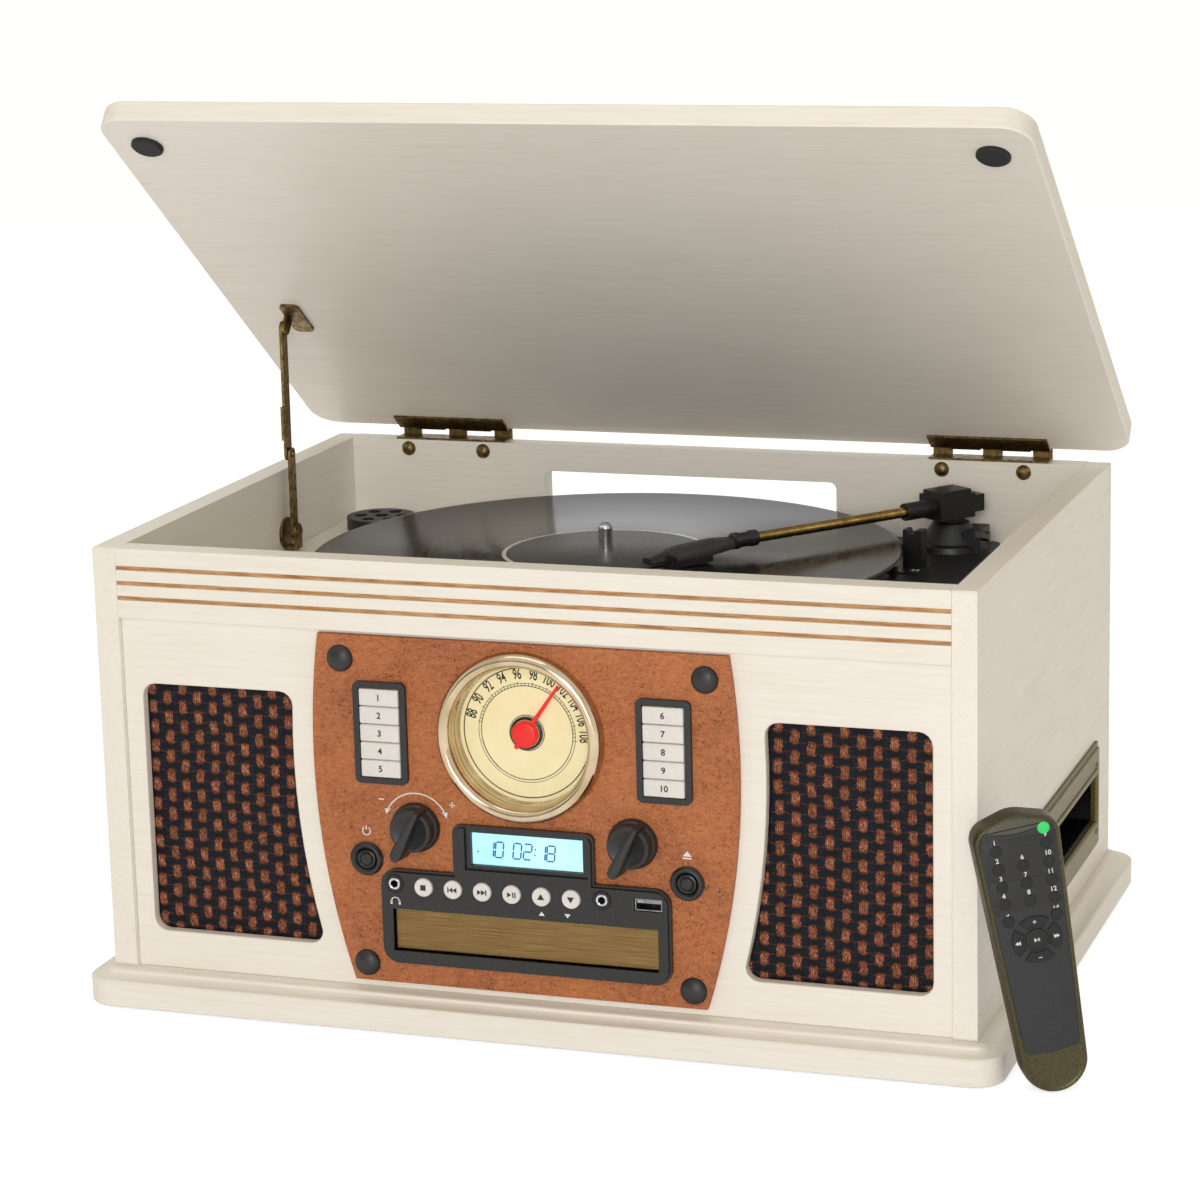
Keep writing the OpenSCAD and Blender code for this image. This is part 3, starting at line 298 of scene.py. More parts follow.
vinylSet = {"pitch": 9000.0, "ringIn": 0.0508, "ringOut": 0.0530, "ringBreaks": 0.36}


def vinylFinish(s):
    # grooves: sin(r * pitch) about the spindle, banded like tracks; a pale ring, broken by noise, stands round the
    # label
    m, t, b = newMaterial("grooveVinyl")
    lo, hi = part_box("record")
    cx, cy = (lo[0] + hi[0]) / 2, (lo[1] + hi[1]) / 2
    c = node(t, "TexCoord")
    xyz = node(t, "SeparateXYZ")
    t.links.new(c.outputs["Object"], xyz.inputs[0])
    dx = maths(t, "SUBTRACT", xyz.outputs[0], cx)
    dy = maths(t, "SUBTRACT", xyz.outputs[1], cy)
    r = maths(t, "SQRT", maths(t, "ADD", maths(t, "MULTIPLY", dx, dx), maths(t, "MULTIPLY", dy, dy)))
    wave = maths(t, "SINE", maths(t, "MULTIPLY", r, s["pitch"]))
    combine = node(t, "CombineXYZ")
    t.links.new(r, combine.inputs[0])
    tracks = noise(t, combine.outputs[0], 320.0, 2.0)
    ringIn = maths(t, "GREATER_THAN", r, s["ringIn"])
    ringOut = maths(t, "LESS_THAN", r, s["ringOut"])
    ring = maths(t, "MULTIPLY", ringIn, ringOut)
    spots = noise(t, coords(t), 700.0, 3.0)
    # noise breaks the pale ring into pieces
    ring = maths(t, "MULTIPLY", ring, maths(t, "GREATER_THAN", spots, s["ringBreaks"]))
    base = ramp(t, tracks, [(0.35, srgb(17, 17, 18)), (0.7, srgb(34, 34, 35))])
    t.links.new(blendColours(t, ring, base, srgb(226, 226, 224)), b.inputs["Base Color"])
    t.links.new(ramp(t, tracks, [(0.3, grey(0.12)), (0.7, grey(0.2))]), b.inputs["Roughness"])
    bumped(t, b, wave, 0.05, 0.00005)
    b.inputs["Specular IOR Level"].default_value = 0.2
    return m


def dialPaperFinish():
    m, t, b = newMaterial("dialPaper")
    n = noise(t, coords(t), 45.0, 4.0)
    paper = ramp(t, n, [(0.3, srgb(238, 224, 170)), (0.7, srgb(248, 238, 196))])
    t.links.new(paper, b.inputs["Base Color"])
    t.links.new(paper, b.inputs["Emission Color"])
    b.inputs["Roughness"].default_value = 0.55
    b.inputs["Emission Strength"].default_value = 0.16
    return m


def lampFinish(name, low, high, glow):
    m, t, b = newMaterial(name)
    n = noise(t, coords(t), 24.0, 3.0)
    c = ramp(t, n, [(0.3, low), (0.7, high)])
    t.links.new(c, b.inputs["Base Color"])
    t.links.new(c, b.inputs["Emission Color"])
    b.inputs["Emission Strength"].default_value = glow
    b.inputs["Roughness"].default_value = 0.25
    return m


def glassFinish(name, alpha):
    m, _, b = newMaterial(name)
    b.inputs["Base Color"].default_value = (0.02, 0.02, 0.02, 1.0)
    b.inputs["Roughness"].default_value = 0.03
    b.inputs["Alpha"].default_value = alpha
    b.inputs["Specular IOR Level"].default_value = 0.25
    return m


def inkFinish(name, colour, rough=0.5, glow=0.0):
    m, t, b = newMaterial(name)
    n = noise(t, coords(t), 1500.0, 2.0)
    t.links.new(ramp(t, n, [(0.2, tuple(c * 0.88 for c in colour[:3]) + (1,)), (0.8, colour)]), b.inputs["Base Color"])
    b.inputs["Roughness"].default_value = rough
    if glow:
        b.inputs["Emission Color"].default_value = colour
        b.inputs["Emission Strength"].default_value = glow
    return m


vinyl = vinylFinish(vinylSet)
dialPaper = dialPaperFinish()
lcdGlow = lampFinish("lcdGlow", srgb(160, 220, 236), srgb(188, 236, 248), 0.55)
clearGlass = glassFinish("dialGlass", 0.03)
whiteInk = inkFinish("whiteInk", srgb(235, 235, 232))
blackInk = inkFinish("blackInk", srgb(22, 20, 18))
lcdInk = inkFinish("lcdInk", srgb(28, 104, 176), 0.4)
# the pointer's red also glows faintly: painted light, as the pointer is no lamp
pointerRed = inkFinish("pointerRed", srgb(236, 30, 20), 0.3, 0.22)
keyWhite = inkFinish("keyWhite", srgb(232, 230, 228), 0.3)
remoteFace = mouldedBlack("remoteFace", srgb(34, 34, 36), 0.6, 1500.0, 0.08)
# the green key glows faintly: painted light, as the key is no lamp
remoteGreen = inkFinish("remoteGreen", srgb(48, 214, 110), 0.35, 0.1)
boardGreen = mouldedBlack("boardGreen", srgb(20, 86, 44), 0.4)
remoteRubber = mouldedBlack("remoteRubber", srgb(12, 12, 13), 0.7, 1500.0, 0.08)
crownSmoke = mouldedBlack("crownSmoke", srgb(74, 74, 62), 0.45, 1500.0, 0.05)
labelPaper = mouldedBlack("labelPaper", srgb(70, 70, 72), 0.35, 900.0, 0.05)
print("materials")

finishes = {
    "base_board": creamAlongX, "left_side_panel": creamAlongY, "right_side_panel": creamAlongY,
    "back_panel": creamAlongX, "front_frieze": creamAlongX, "front_baffle": creamAlongX, "motor_board": creamAlongX,
    "lid_board": creamAlongX, "rubber_feet": feetRubber, "deck_plate": satinBlack, "spindle": bareSteel,
    "drive_motor": bareSteel, "cabinet_fittings": agedBrass, "fascia_panel": leather, "fascia_trim": glossBlack,
    "dial_bezel": warmChrome, "dial_face": dialPaper, "dial_lens": clearGlass, "cd_bezel": glossBlack,
    "lcd_display": lcdGlow, "sockets": socketSteel, "speaker_drivers": satinBlack, "speaker_cloths": satinBlack,
    "cassette_plate": plateBronze, "cassette_mechanism": satinBlack, "circuit_board": boardGreen,
    "adapter_45": satinBlack, "platter": feetRubber, "record": vinyl, "tonearm_turret": satinBlack,
    "tonearm_housing": satinBlack, "tone_arm": armBrass, "cue_lever": satinBlack, "speed_switch": satinBlack,
    "lid_fittings": agedBrass, "stay_upper_link": agedBrass, "stay_lower_link": agedBrass, "dial_pointer": pointerRed,
    "volume_knob": knobBlack, "tuning_knob": knobBlack, "cd_tray": trayBrass, "power_button": satinBlack,
    "eject_button": satinBlack, "remote_control": caseBronze}
for name, o in nodes.items():
    mat = finishes.get(name, keyWhite)
    o.data.materials.clear()
    o.data.materials.append(mat)
print("cad finishes")


# a shape is its points in millimetres and a list of face index arrays
def strip(pts, closeU=False, caps=(True, True)):
    # rings of points [ring, around, xyz]: point (i, j) joins (i, j+1), (i+1, j+1) and (i+1, j) in a four-sided face
    n, m = pts.shape[:2]
    i = np.arange(n if closeU else n - 1)[:, None] * m
    j = np.arange(m)[None, :]
    k = (j + 1) % m
    up = (i + m) % (n * m)
    faces = [np.stack([i + j, i + k, up + k, up + j], -1).reshape(-1, 4)]
    if caps[0] and not closeU:
        faces.append(np.arange(m)[::-1][None, :])
    if caps[1] and not closeU:
        faces.append((np.arange(m) + (n - 1) * m)[None, :])
    return pts.reshape(-1, 3), faces


def joined(shapes):
    # stacks the points of several shapes and moves each one's indices on by the points before it
    sizes = np.cumsum([0] + [len(p) for p, f in shapes])
    return np.vstack([p for p, f in shapes]), [a + n for (p, f), n in zip(shapes, sizes) for a in f]


facings = {"front": ((1, 0, 0), (0, 0, 1), (0, -1, 0)), "top": ((1, 0, 0), (0, 1, 0), (0, 0, 1)),
           "right": ((0, 1, 0), (0, 0, 1), (1, 0, 0)), "under": ((1, 0, 0), (0, -1, 0), (0, 0, -1))}


def put(shape, centre, facing="front"):
    # point = centre + u * across + v * up + w * outwards, for a facing's three directions
    axes = np.array(facings[facing] if isinstance(facing, str) else facing, float)
    return shape[0] @ axes + np.array(centre, float), shape[1]


def turnedBy(angle, facing="front"):
    # a facing whose across and up directions are turned clockwise by an angle in degrees
    a = np.array(facings[facing] if isinstance(facing, str) else facing, float)
    c, s = math.cos(math.radians(angle)), math.sin(math.radians(angle))
    return (a[0] * c - a[1] * s, a[0] * s + a[1] * c, a[2])


def roundRect(w, h, r, n=6):
    # four quarter circles of radius r about the corners' centres
    t = np.linspace(0, np.pi / 2, n)[None, :] + np.arange(4)[:, None] * np.pi / 2
    cx = np.array([1, -1, -1, 1])[:, None] * (w / 2 - r)
    cy = np.array([1, 1, -1, -1])[:, None] * (h / 2 - r)
    return np.stack([cx + r * np.cos(t), cy + r * np.sin(t)], -1).reshape(-1, 2)


def oval(a, b=None, n=48):
    # (a cos t, b sin t)
    t = np.linspace(0, 2 * np.pi, n, endpoint=False)
    return np.stack([a * np.cos(t), (b or a) * np.sin(t)], -1)


def hullOf(circles, n=96):
    # support points of a set of circles (x, y, r): for each direction d the circle with the largest c.d + r
    c = np.array(circles, float)
    t = np.linspace(0, 2 * np.pi, n, endpoint=False)
    d = np.stack([np.cos(t), np.sin(t)], -1)
    best = np.argmax(d @ c[:, :2].T + c[:, 2], axis=1)
    return c[best, :2] + d * c[best, 2:3]


def evened(loop, n):
    # the same closed outline with n points at equal steps along it
    p = np.vstack([loop, loop[:1]])
    s = np.concatenate([[0], np.cumsum(np.linalg.norm(np.diff(p, axis=0), axis=1))])
    t = np.linspace(0, s[-1], n, endpoint=False)
    return np.stack([np.interp(t, s, p[:, 0]), np.interp(t, s, p[:, 1])], -1)


def inset(loop, g):
    # each point moves inwards by g along the mitre of its two edges' normals
    e = np.roll(loop, -1, 0) - loop
    n = np.stack([e[:, 1], -e[:, 0]], -1) / np.maximum(np.linalg.norm(e, axis=1, keepdims=True), 1e-9)
    m = n + np.roll(n, 1, 0)
    m = m / np.maximum(1.0 + (n * np.roll(n, 1, 0)).sum(1, keepdims=True), 0.3)
    return loop - g * m


def slab(loop, steps):
    # an outline carried up through [inset, height] steps
    return strip(np.stack([np.concatenate([inset(loop, g), np.full((len(loop), 1), h)], 1) for g, h in steps]))


def collar(outer, inner, steps):
    # a closed band between two outlines of equal count: steps of [share from outer to inner, height]
    return strip(np.stack([np.concatenate([outer + (inner - outer) * s, np.full((len(outer), 1), h)], 1)
                           for s, h in steps]), closeU=True)


def turned(profile, n=48, ring=False):
    # [radius, height] points turned about the axis: (r cos t, r sin t, h)
    r, h = np.array(profile, float).T
    t = np.linspace(0, 2 * np.pi, n, endpoint=False)
    pts = np.stack([r[:, None] * np.cos(t), r[:, None] * np.sin(t), h[:, None] + 0 * t], -1)
    return strip(pts, closeU=ring)


def carried(path, profile, ref=(0, 0, 1), closed=False):
    # profile (a, b) at each point of a path: path + a * side + b * ref', side = tangent x ref
    p = np.array(path, float)
    if p.shape[1] == 2:
        p = np.concatenate([p, np.zeros((len(p), 1))], 1)
    t = np.roll(p, -1, 0) - np.roll(p, 1, 0) if closed else np.gradient(p, axis=0)
    t = t / np.linalg.norm(t, axis=1, keepdims=True)
    side = np.cross(t, np.array(ref, float))
    side = side / np.linalg.norm(side, axis=1, keepdims=True)
    over = np.cross(side, t)
    q = np.array(profile, float)
    q = np.broadcast_to(q, (len(p),) + q.shape[-2:])
    pts = p[:, None] + q[..., 0:1] * side[:, None] + q[..., 1:2] * over[:, None]
    return strip(pts, closeU=closed)


def pipe(path, r, ref=(0, 0, 1), closed=False, n=10):
    # a circle of radius r, or of one radius for each point, carried along a path
    return carried(path, np.asarray(r, float).reshape(-1, 1, 1) * oval(1, n=n)[None], ref, closed)


def stroke(path, width, height=0.12, closed=False):
    # a flat inked line: a low rectangle carried along a path in the plane
    return carried(path, [[-width / 2, 0], [width / 2, 0], [width / 2, height], [-width / 2, height]], closed=closed)


def plate(corners, height=0.12):
    # a flat polygon with a small thickness
    c = np.array(corners, float)
    lift = lambda h: np.concatenate([c, np.full((len(c), 1), h)], 1)
    return strip(np.stack([lift(0.0), lift(height)]))


def arc(r, a, b, n=24, centre=(0, 0)):
    # clock angles in degrees from upright: (r sin t, r cos t)
    t = np.radians(np.linspace(a, b, n))
    return np.stack([centre[0] + r * np.sin(t), centre[1] + r * np.cos(t)], -1)


def lettering(words, size, thick=0.12, bold=0.0):
    # numerals of Blender's own font as a closed shape, centred in the plane
    c = bpy.data.curves.new("numerals", "FONT")
    c.body, c.size, c.extrude, c.resolution_u, c.offset = words, size, thick / 2, 3, bold
    c.align_x, c.align_y = "CENTER", "CENTER"
    o = bpy.data.objects.new("numerals", c)
    bpy.context.scene.collection.objects.link(o)
    me = bpy.data.meshes.new_from_object(o.evaluated_get(bpy.context.evaluated_depsgraph_get()))
    pts = np.empty(len(me.vertices) * 3)
    me.vertices.foreach_get("co", pts)
    faces = [np.array([f.vertices[:]]) for f in me.polygons]
    bpy.data.objects.remove(o)
    bpy.data.meshes.remove(me)
    return pts.reshape(-1, 3), faces


def finish(me, name, materials, body, stands, smooth):
    o = bpy.data.objects.new(name, me)
    bpy.context.scene.collection.objects.link(o)
    for m in materials:
        me.materials.append(m)
    me.polygons.foreach_set("use_smooth", np.ones(len(me.polygons), bool))
    me.set_sharp_from_angle(angle=math.radians(smooth))
    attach(o, body)
    if stands:
        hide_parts(*stands)
    return o


def makePiece(name, shape, material, body="cabinet", stands=(), smooth=38):
    # puts a shape's points and faces into a mesh, merges doubles and turns the faces outwards
    me = bpy.data.meshes.new(name)
    me.from_pydata(here(shape[0]).tolist(), [], [f for a in shape[1] for f in a.tolist()])
    bm = bmesh.new()
    bm.from_mesh(me)
    bmesh.ops.remove_doubles(bm, verts=bm.verts, dist=2e-6)
    bmesh.ops.recalc_face_normals(bm, faces=bm.faces)
    bm.to_mesh(me)
    bm.free()
    return finish(me, name, [material], body, stands, smooth)


def softened(node, width, materials, body="cabinet", choose=None, name=None, smooth=40):
    # a merged copy of a CAD solid with its edges rounded over by width millimetres, which stands for the solid
    me = bpy.data.meshes.new(name or "soft_" + node)
    bm = bmesh.new()
    bm.from_mesh(nodes[node].data)
    bmesh.ops.remove_doubles(bm, verts=bm.verts, dist=2e-6)
    bmesh.ops.dissolve_limit(bm, angle_limit=math.radians(0.5), verts=bm.verts, edges=bm.edges)
    sharp = [e for e in bm.edges if len(e.link_faces) == 2 and e.calc_face_angle() > math.radians(28)]
    bmesh.ops.bevel(bm, geom=sharp, offset=width / 1000, offset_type="OFFSET", segments=2, profile=0.6,
                    affect="EDGES", clamp_overlap=True)
    bmesh.ops.remove_doubles(bm, verts=bm.verts, dist=2e-6)
    bm.to_mesh(me)
    bm.free()
    if choose:
        c = np.empty(len(me.polygons) * 3)
        me.polygons.foreach_get("center", c)
        c = c.reshape(-1, 3) * 1000 - np.array([shiftX, shiftY, 0]) * 1000
        me.polygons.foreach_set("material_index", choose(c).astype(np.int32))
    materials = materials if isinstance(materials, list) else [materials]
    o = finish(me, name or "soft_" + node, materials, body, [node], smooth)
    # flat faces keep their own normals beside the rounded edges
    o.modifiers.new("flatNormals", "WEIGHTED_NORMAL").keep_sharp = True
    return o


# speaker cloths: a plain weave of flat copper warps and round dark wefts, with a fine thread between the wefts
cloth = {"edge": 21.5, "low": 39.5, "high": 164.5, "gap": 12.0, "under": 4.0, "step": 0.52, "face": 8.9,
         "column": 7.9, "row": 4.9, "ribbon": 4.1, "bow": 380.0, "half": 106.0, "bowHeight": 138.1,
         "thread": 0.42, "rise": 0.72}


def bowHalf(z, s):
    # half width of the fascia: a circle of radius bow about a centre beyond the middle
    return s["half"] - s["bow"] + np.sqrt(s["bow"] ** 2 - (z - s["bowHeight"]) ** 2)


def weaveHeight(x, z, s, seed):
    # weft: a round ridge for each row, sqrt(1 - dv^2) and cos(pi u), that rises and falls with the columns
    # warp: a flat ribbon for each column that does the opposite, cos(pi v); thin: a fine thread between the rows
    ragged = 0.16 * np.sin(x * 7.9 + z * 1.3 + seed) + 0.12 * np.sin(x * 13.7 - z * 2.9)
    wander = 0.35 * np.sin(z * 0.071 + seed) + 0.22 * np.sin(z * 0.19 + x * 0.05 + 2.1 * seed)
    u = (x + wander + 0.5 * ragged) / s["column"]
    sag = 0.5 * np.sin(x * 0.043 + seed) + 0.25 * np.sin(x * 0.13 + z * 0.03)
    v = (z + sag + ragged) / s["row"]
    col, row = np.round(u), np.round(v)
    du, dv = (u - col) * s["column"], (v - row)
    phase = np.cos(np.pi * u + np.pi * row)
    plies = np.cos(2 * np.pi * (x * 0.9 + dv * 5.5) / 2.2)
    weft = 0.62 * np.sqrt(np.clip(1 - (2.05 * dv) ** 2, 0, 1)) + 0.34 * phase + 0.05 * plies
    over = np.cos(np.pi * v + np.pi * col)
    across = du / (s["ribbon"] / 2)
    strands = np.cos(np.pi * across * 4.0)
    flat = 0.45 + 0.18 * np.sqrt(np.clip(1 - across ** 2, 0, 1))
    warp = np.where(np.abs(across) < 1, flat + 0.60 * over + 0.07 * strands, -1.0)
    w = s["thread"]
    dz = (v - np.floor(v) - 0.5) * s["row"] + w * np.cos(np.pi * u + np.pi * np.floor(v))
    thin = np.where(np.abs(dz) < w, 0.26 + 0.26 * np.sqrt(np.clip(1 - (dz / w) ** 2, 0, 1)), -1.0)
    thin = thin + 0.08 * np.cos(x * 2 * np.pi / 1.25)
    h = np.maximum(np.maximum(weft, warp), thin)
    kind = np.where(warp >= h, 1.0, np.where(thin >= h, 0.55, 0.0))
    twist = np.where(kind == 1, 0.66 + 0.34 * strands, np.where(kind == 0, 0.8 + 0.2 * plies, 0.8))
    # shade is painted shade: darker where the weave lies low and along the lines between strands and plies
    shade = np.clip((h + 0.1) / 1.05, 0, 1) * twist
    tuft = 0.5 + 0.5 * np.sin(12.9 * np.round(u / 2 + 0.5 * row) + 78.2 * row + seed)
    return np.maximum(h, -0.2), kind, shade, tuft


def weaveFinish():
    # the yarn attribute holds the kind of yarn, a painted shade that darkens the low parts of the weave, and a tone for
    # each lump; fibres run along the threads
    m, t, b = newMaterial("wovenCloth")
    a = node(t, "Attribute", attribute_name="yarn")
    part = node(t, "SeparateColor")
    t.links.new(a.outputs["Color"], part.inputs[0])
    fine = noise(t, coords(t, (900, 500, 2600)), 1.0, 3.0, 0.75)
    fuzz = noise(t, coords(t, (2600, 1000, 900)), 1.0, 3.0, 0.7)
    navy = ramp(t, fine, [(0.36, srgb(4, 5, 9)), (0.54, srgb(14, 18, 32)), (0.70, srgb(74, 92, 132))])
    copper = ramp(t, fuzz, [(0.32, srgb(52, 26, 18)), (0.5, srgb(158, 88, 60)), (0.68, srgb(244, 172, 132))])
    dusky = ramp(t, fuzz, [(0.3, srgb(44, 24, 22)), (0.7, srgb(128, 78, 64))])
    isThin = maths(t, "GREATER_THAN", part.outputs[0], 0.3)
    isWarp = maths(t, "GREATER_THAN", part.outputs[0], 0.78)
    base = blendColours(t, isWarp, blendColours(t, isThin, navy, dusky), copper)
    # painted shade: the weave's low parts and the gaps between strands are darkened in the colour
    paintedValleyShade = ramp(t, part.outputs[1], [(0.12, grey(0.10)), (0.85, grey(1.0))])
    tone = ramp(t, part.outputs[2], [(0.0, grey(0.72)), (1.0, grey(1.0))])
    lit = node(t, "Mix", data_type="RGBA", blend_type="MULTIPLY")
    lit.inputs[0].default_value = 1.0
    t.links.new(base, lit.inputs[6])
    t.links.new(paintedValleyShade, lit.inputs[7])
    both = node(t, "Mix", data_type="RGBA", blend_type="MULTIPLY")
    both.inputs[0].default_value = 1.0
    t.links.new(lit.outputs[2], both.inputs[6])
    t.links.new(tone, both.inputs[7])
    t.links.new(both.outputs[2], b.inputs["Base Color"])
    b.inputs["Roughness"].default_value = 0.72
    b.inputs["Specular IOR Level"].default_value = 0.2
    b.inputs["Sheen Weight"].default_value = 0.05
    b.inputs["Sheen Roughness"].default_value = 0.5
    bumped(t, b, maths(t, "ADD", fine, fuzz), 0.5, 0.0004)
    return m


wovenCloth = weaveFinish()


def makeCloth(side, s):
    # grid between the bowed inner edge and the straight outer edge, raised by the weave and flat under the baffle
    mid = cabinet["midX"]
    z = np.arange(s["low"] - s["under"], s["high"] + s["under"], s["step"])
    inner = bowHalf(z, s) + s["gap"] - s["under"]
    outer = mid - s["edge"] + s["under"]
    n = int((outer - inner.min()) / s["step"])
    share = np.linspace(0, 1, n)[None, :]
    x = inner[:, None] + (outer - inner[:, None]) * share
    z = z[:, None] + 0 * x
    inside = np.minimum(np.minimum(x - inner[:, None], outer - x), np.minimum(z - z.min(), z.max() - z)) - s["under"]
    ease = np.clip(inside / 1.2 + 0.3, 0, 1)
    xs = mid + side * x
    h, kind, shade, tuft = weaveHeight(xs, z, s, 1.0 if side < 0 else 4.0)
    front = np.stack([xs, s["face"] + 0.9 - (0.1 + h * s["rise"]) * ease, z], -1)
    rows, cols = x.shape
    index = np.arange(rows * cols).reshape(rows, cols)
    quads = np.stack([index[:-1, :-1], index[:-1, 1:], index[1:, 1:], index[1:, :-1]], -1).reshape(-1, 4)
    rim = np.concatenate([index[0, :-1], index[:-1, -1], index[-1, :0:-1], index[:0:-1, 0]])
    back = front.reshape(-1, 3)[rim].copy()
    back[:, 1] = s["face"] + 1.25
    behind = rows * cols + np.arange(len(rim))
    wall = np.stack([rim, np.roll(rim, -1), np.roll(behind, -1), behind], -1)
    shape = np.vstack([front.reshape(-1, 3), back]), [quads, wall, behind[::-1][None, :]]
    name = "speakerClothLeft" if side < 0 else "speakerClothRight"
    me = bpy.data.meshes.new(name)
    me.from_pydata(here(shape[0]).tolist(), [], [f for a in shape[1] for f in a.tolist()])
    bm = bmesh.new()
    bm.from_mesh(me)
    bmesh.ops.recalc_face_normals(bm, faces=bm.faces)
    bm.to_mesh(me)
    bm.free()
    yarn = me.color_attributes.new("yarn", "FLOAT_COLOR", "POINT")
    colour = np.zeros((rows * cols + len(rim), 4))
    # the second channel carries the weave's painted shade
    colour[:rows * cols, 0], colour[:rows * cols, 1] = kind.ravel(), shade.ravel()
    colour[:rows * cols, 2], colour[:, 3] = tuft.ravel(), 1
    yarn.data.foreach_set("color", colour.ravel())
    o = finish(me, name, [wovenCloth], "cabinet", ["speaker_cloths"], 180)


for side in (-1, 1):
    makeCloth(side, cloth)
print("speaker cloths")

# frieze grooves: strips of bare wood let into the bottom of the three grooves
groove = {"top": 231.5, "first": 9.65, "pitch": 7.4, "count": 3, "x0": 12.02, "x1": 422.98}


def makeGrooves(s):
    # a shallow hollow section carried across the frieze
    v = np.linspace(-0.98, 0.98, 7)
    section = np.concatenate([np.stack([v, 0.34 - 0.12 * np.cos(v * 1.5)], -1), [[0.98, 0.03], [-0.98, 0.03]]])
    strips = []
    for i in range(s["count"]):
        z = s["top"] - s["first"] - i * s["pitch"]
        x = np.array([s["x0"], s["x1"]])[:, None]
        pts = np.stack([x + 0 * section[:, 0], 1.3 - section[:, 1] + 0 * x, z + section[:, 0] + 0 * x], -1)
        strips.append(strip(pts))
    makePiece("grooveStrips", joined(strips), rawWood)


makeGrooves(groove)

# dial: a rolled ring, printed scale, hub and pointer
dial = {"x": 217.5, "z": 150.8, "outer": 41.2, "window": 33.6, "face": 8.0, "numbers": ["88", "90", "92", "94", "96",
        "98", "100", "102", "104", "106", "108"], "from": -74.0, "to": 90.0, "numberRing": 28.3, "numberSize": 7.2,
        "ring": 22.8, "ticks": 40, "pointer": 35.0, "reach": 29.5, "cap": 6.4, "slim": 0.58}


def makeDial(s):
    at = (s["x"], 0.0, s["z"])
    t = np.linspace(0, np.pi, 14)
    # outer roll: half an ellipse 8 mm wide; then a step and a narrow inner roll down to the face
    roll = np.stack([s["outer"] - 3.7 - 3.7 * np.cos(np.pi - t), 1.2 + 5.6 * np.sin(t)], -1)
    inner = np.stack([s["window"] + 0.9 + 0.75 * np.cos(t), 1.0 + 1.1 * np.sin(t)], -1)
    cup = [[s["outer"] - 3.3, -s["face"]], [s["outer"] - 3.3, -0.4], [s["outer"], 0.02]]
    well = [[s["window"] - 0.1, -s["face"] + 0.1], [s["window"], -s["face"]]]
    profile = np.vstack([cup, roll[1:-1], [[s["outer"] - 7.4, 0.4]], inner[1:], well])
    makePiece("dialRing", put(turned(profile, 96, ring=True), at), warmChrome, stands=["dial_bezel"], smooth=50)
    # a gloss black ring in the groove between the rolls, a painted reflection: it stands in for the dark band that the
    # chrome mirrors there
    wide, narrow = s["window"] + 1.9, s["window"] + 0.2
    grooveShadeRing = turned([[wide, 0.3], [wide, 0.9], [narrow, 0.9], [narrow, 0.3]], 96, ring=True)
    makePiece("dialGrooveShade", put(grooveShadeRing, at), glossBlack)
    face = (s["x"], s["face"] - 0.01, s["z"])
    step = (s["to"] - s["from"]) / (len(s["numbers"]) - 1)
    numerals, ticks = [], []
    for i, word in enumerate(s["numbers"]):
        a = math.radians(s["from"] + i * step)
        c, n = math.cos(a), math.sin(a)
        points, faces = lettering(word, s["numberSize"], 0.12, 0.1)
        spot = (s["numberRing"] * n, s["numberRing"] * c, 0.06)
        slim = points * np.array([s["slim"], 1.0, 1.0])
        numerals.append(put((slim, faces), spot, ((c, -n, 0), (n, c, 0), (0, 0, 1))))
    makePiece("dialNumbers", put(joined(numerals), face), blackInk)
    for i in range(s["ticks"] + 1):
        a = math.radians(s["from"] - 6 + i * (s["to"] - s["from"] + 12) / s["ticks"])
        long = 1.9 if i % 4 == 0 else 1.1
        ends = np.array([[s["ring"] + 0.1, s["ring"] + 0.1 + long]]).T * np.array([[math.sin(a), math.cos(a)]])
        ticks.append(stroke(ends, 0.26))
    rings = [stroke(arc(r, 0, 360, 97)[:-1], w, closed=True) for r, w in
             ((s["ring"], 0.34), (s["ring"] + 1.25, 0.22), (s["window"] - 2.1, 0.5), (8.6, 0.36))]
    rings.append(stroke(arc(s["ring"] - 0.1, -140, -100, 12), 0.3))
    makePiece("dialScale", put(joined(ticks + rings), face), blackInk)
    hub = turned([[8.0, 0.0], [8.0, 1.0], [7.2, 1.5], [6.7, 1.5], [6.7, 0.0]], 48, ring=True)
    makePiece("dialHub", put(hub, face), glossBlack)
    lens = turned([[s["window"] - 0.4, 0.4], [s["window"] - 0.6, 0.9], [s["window"] - 6, 1.3], [0, 1.6], [0, 0.9],
                   [s["window"] - 6, 0.7]], 72, ring=True)
    makePiece("dialGlass", put(lens, at), clearGlass, stands=["dial_lens"])
    # pointer: a tapered blade and a domed cap with a small pip at its tail
    h = s["face"] - 2.4
    blade = np.array([[-1.15, 2], [1.15, 2], [0.62, s["reach"]], [-0.62, s["reach"]]])
    blade = slab(blade, [(0.0, 0.0), (0.0, 0.9), (0.3, 1.2)])
    tail = put(slab(oval(1.2, 1.2, 16), [(0, 0), (0, 0.8), (0.4, 1.1)]), (0, -7.6, 0), "top")
    r = s["cap"]
    boss = turned([[0, -0.6], [r, -0.6], [r, 1.5], [r - 0.5, 2.2], [r - 1.4, 2.5], [0, 2.7]], 40)
    shaft = turned([[0, -11], [1.5, -11], [1.5, 0], [0, 0]], 20)
    makePiece("dialPointerRed", put(joined([blade, tail, boss, shaft]), (s["x"], h, s["z"]), turnedBy(s["pointer"])),
              pointerRed, "pointer", ["dial_pointer"])


makeDial(dial)
print("dial")

# keys: pillow-edged caps with a plain number each
key = {"x": 70.4, "z": 148.7, "pitch": 8.7, "width": 20.0, "height": 8.3, "front": 3.0, "back": 7.0, "number": 4.3}


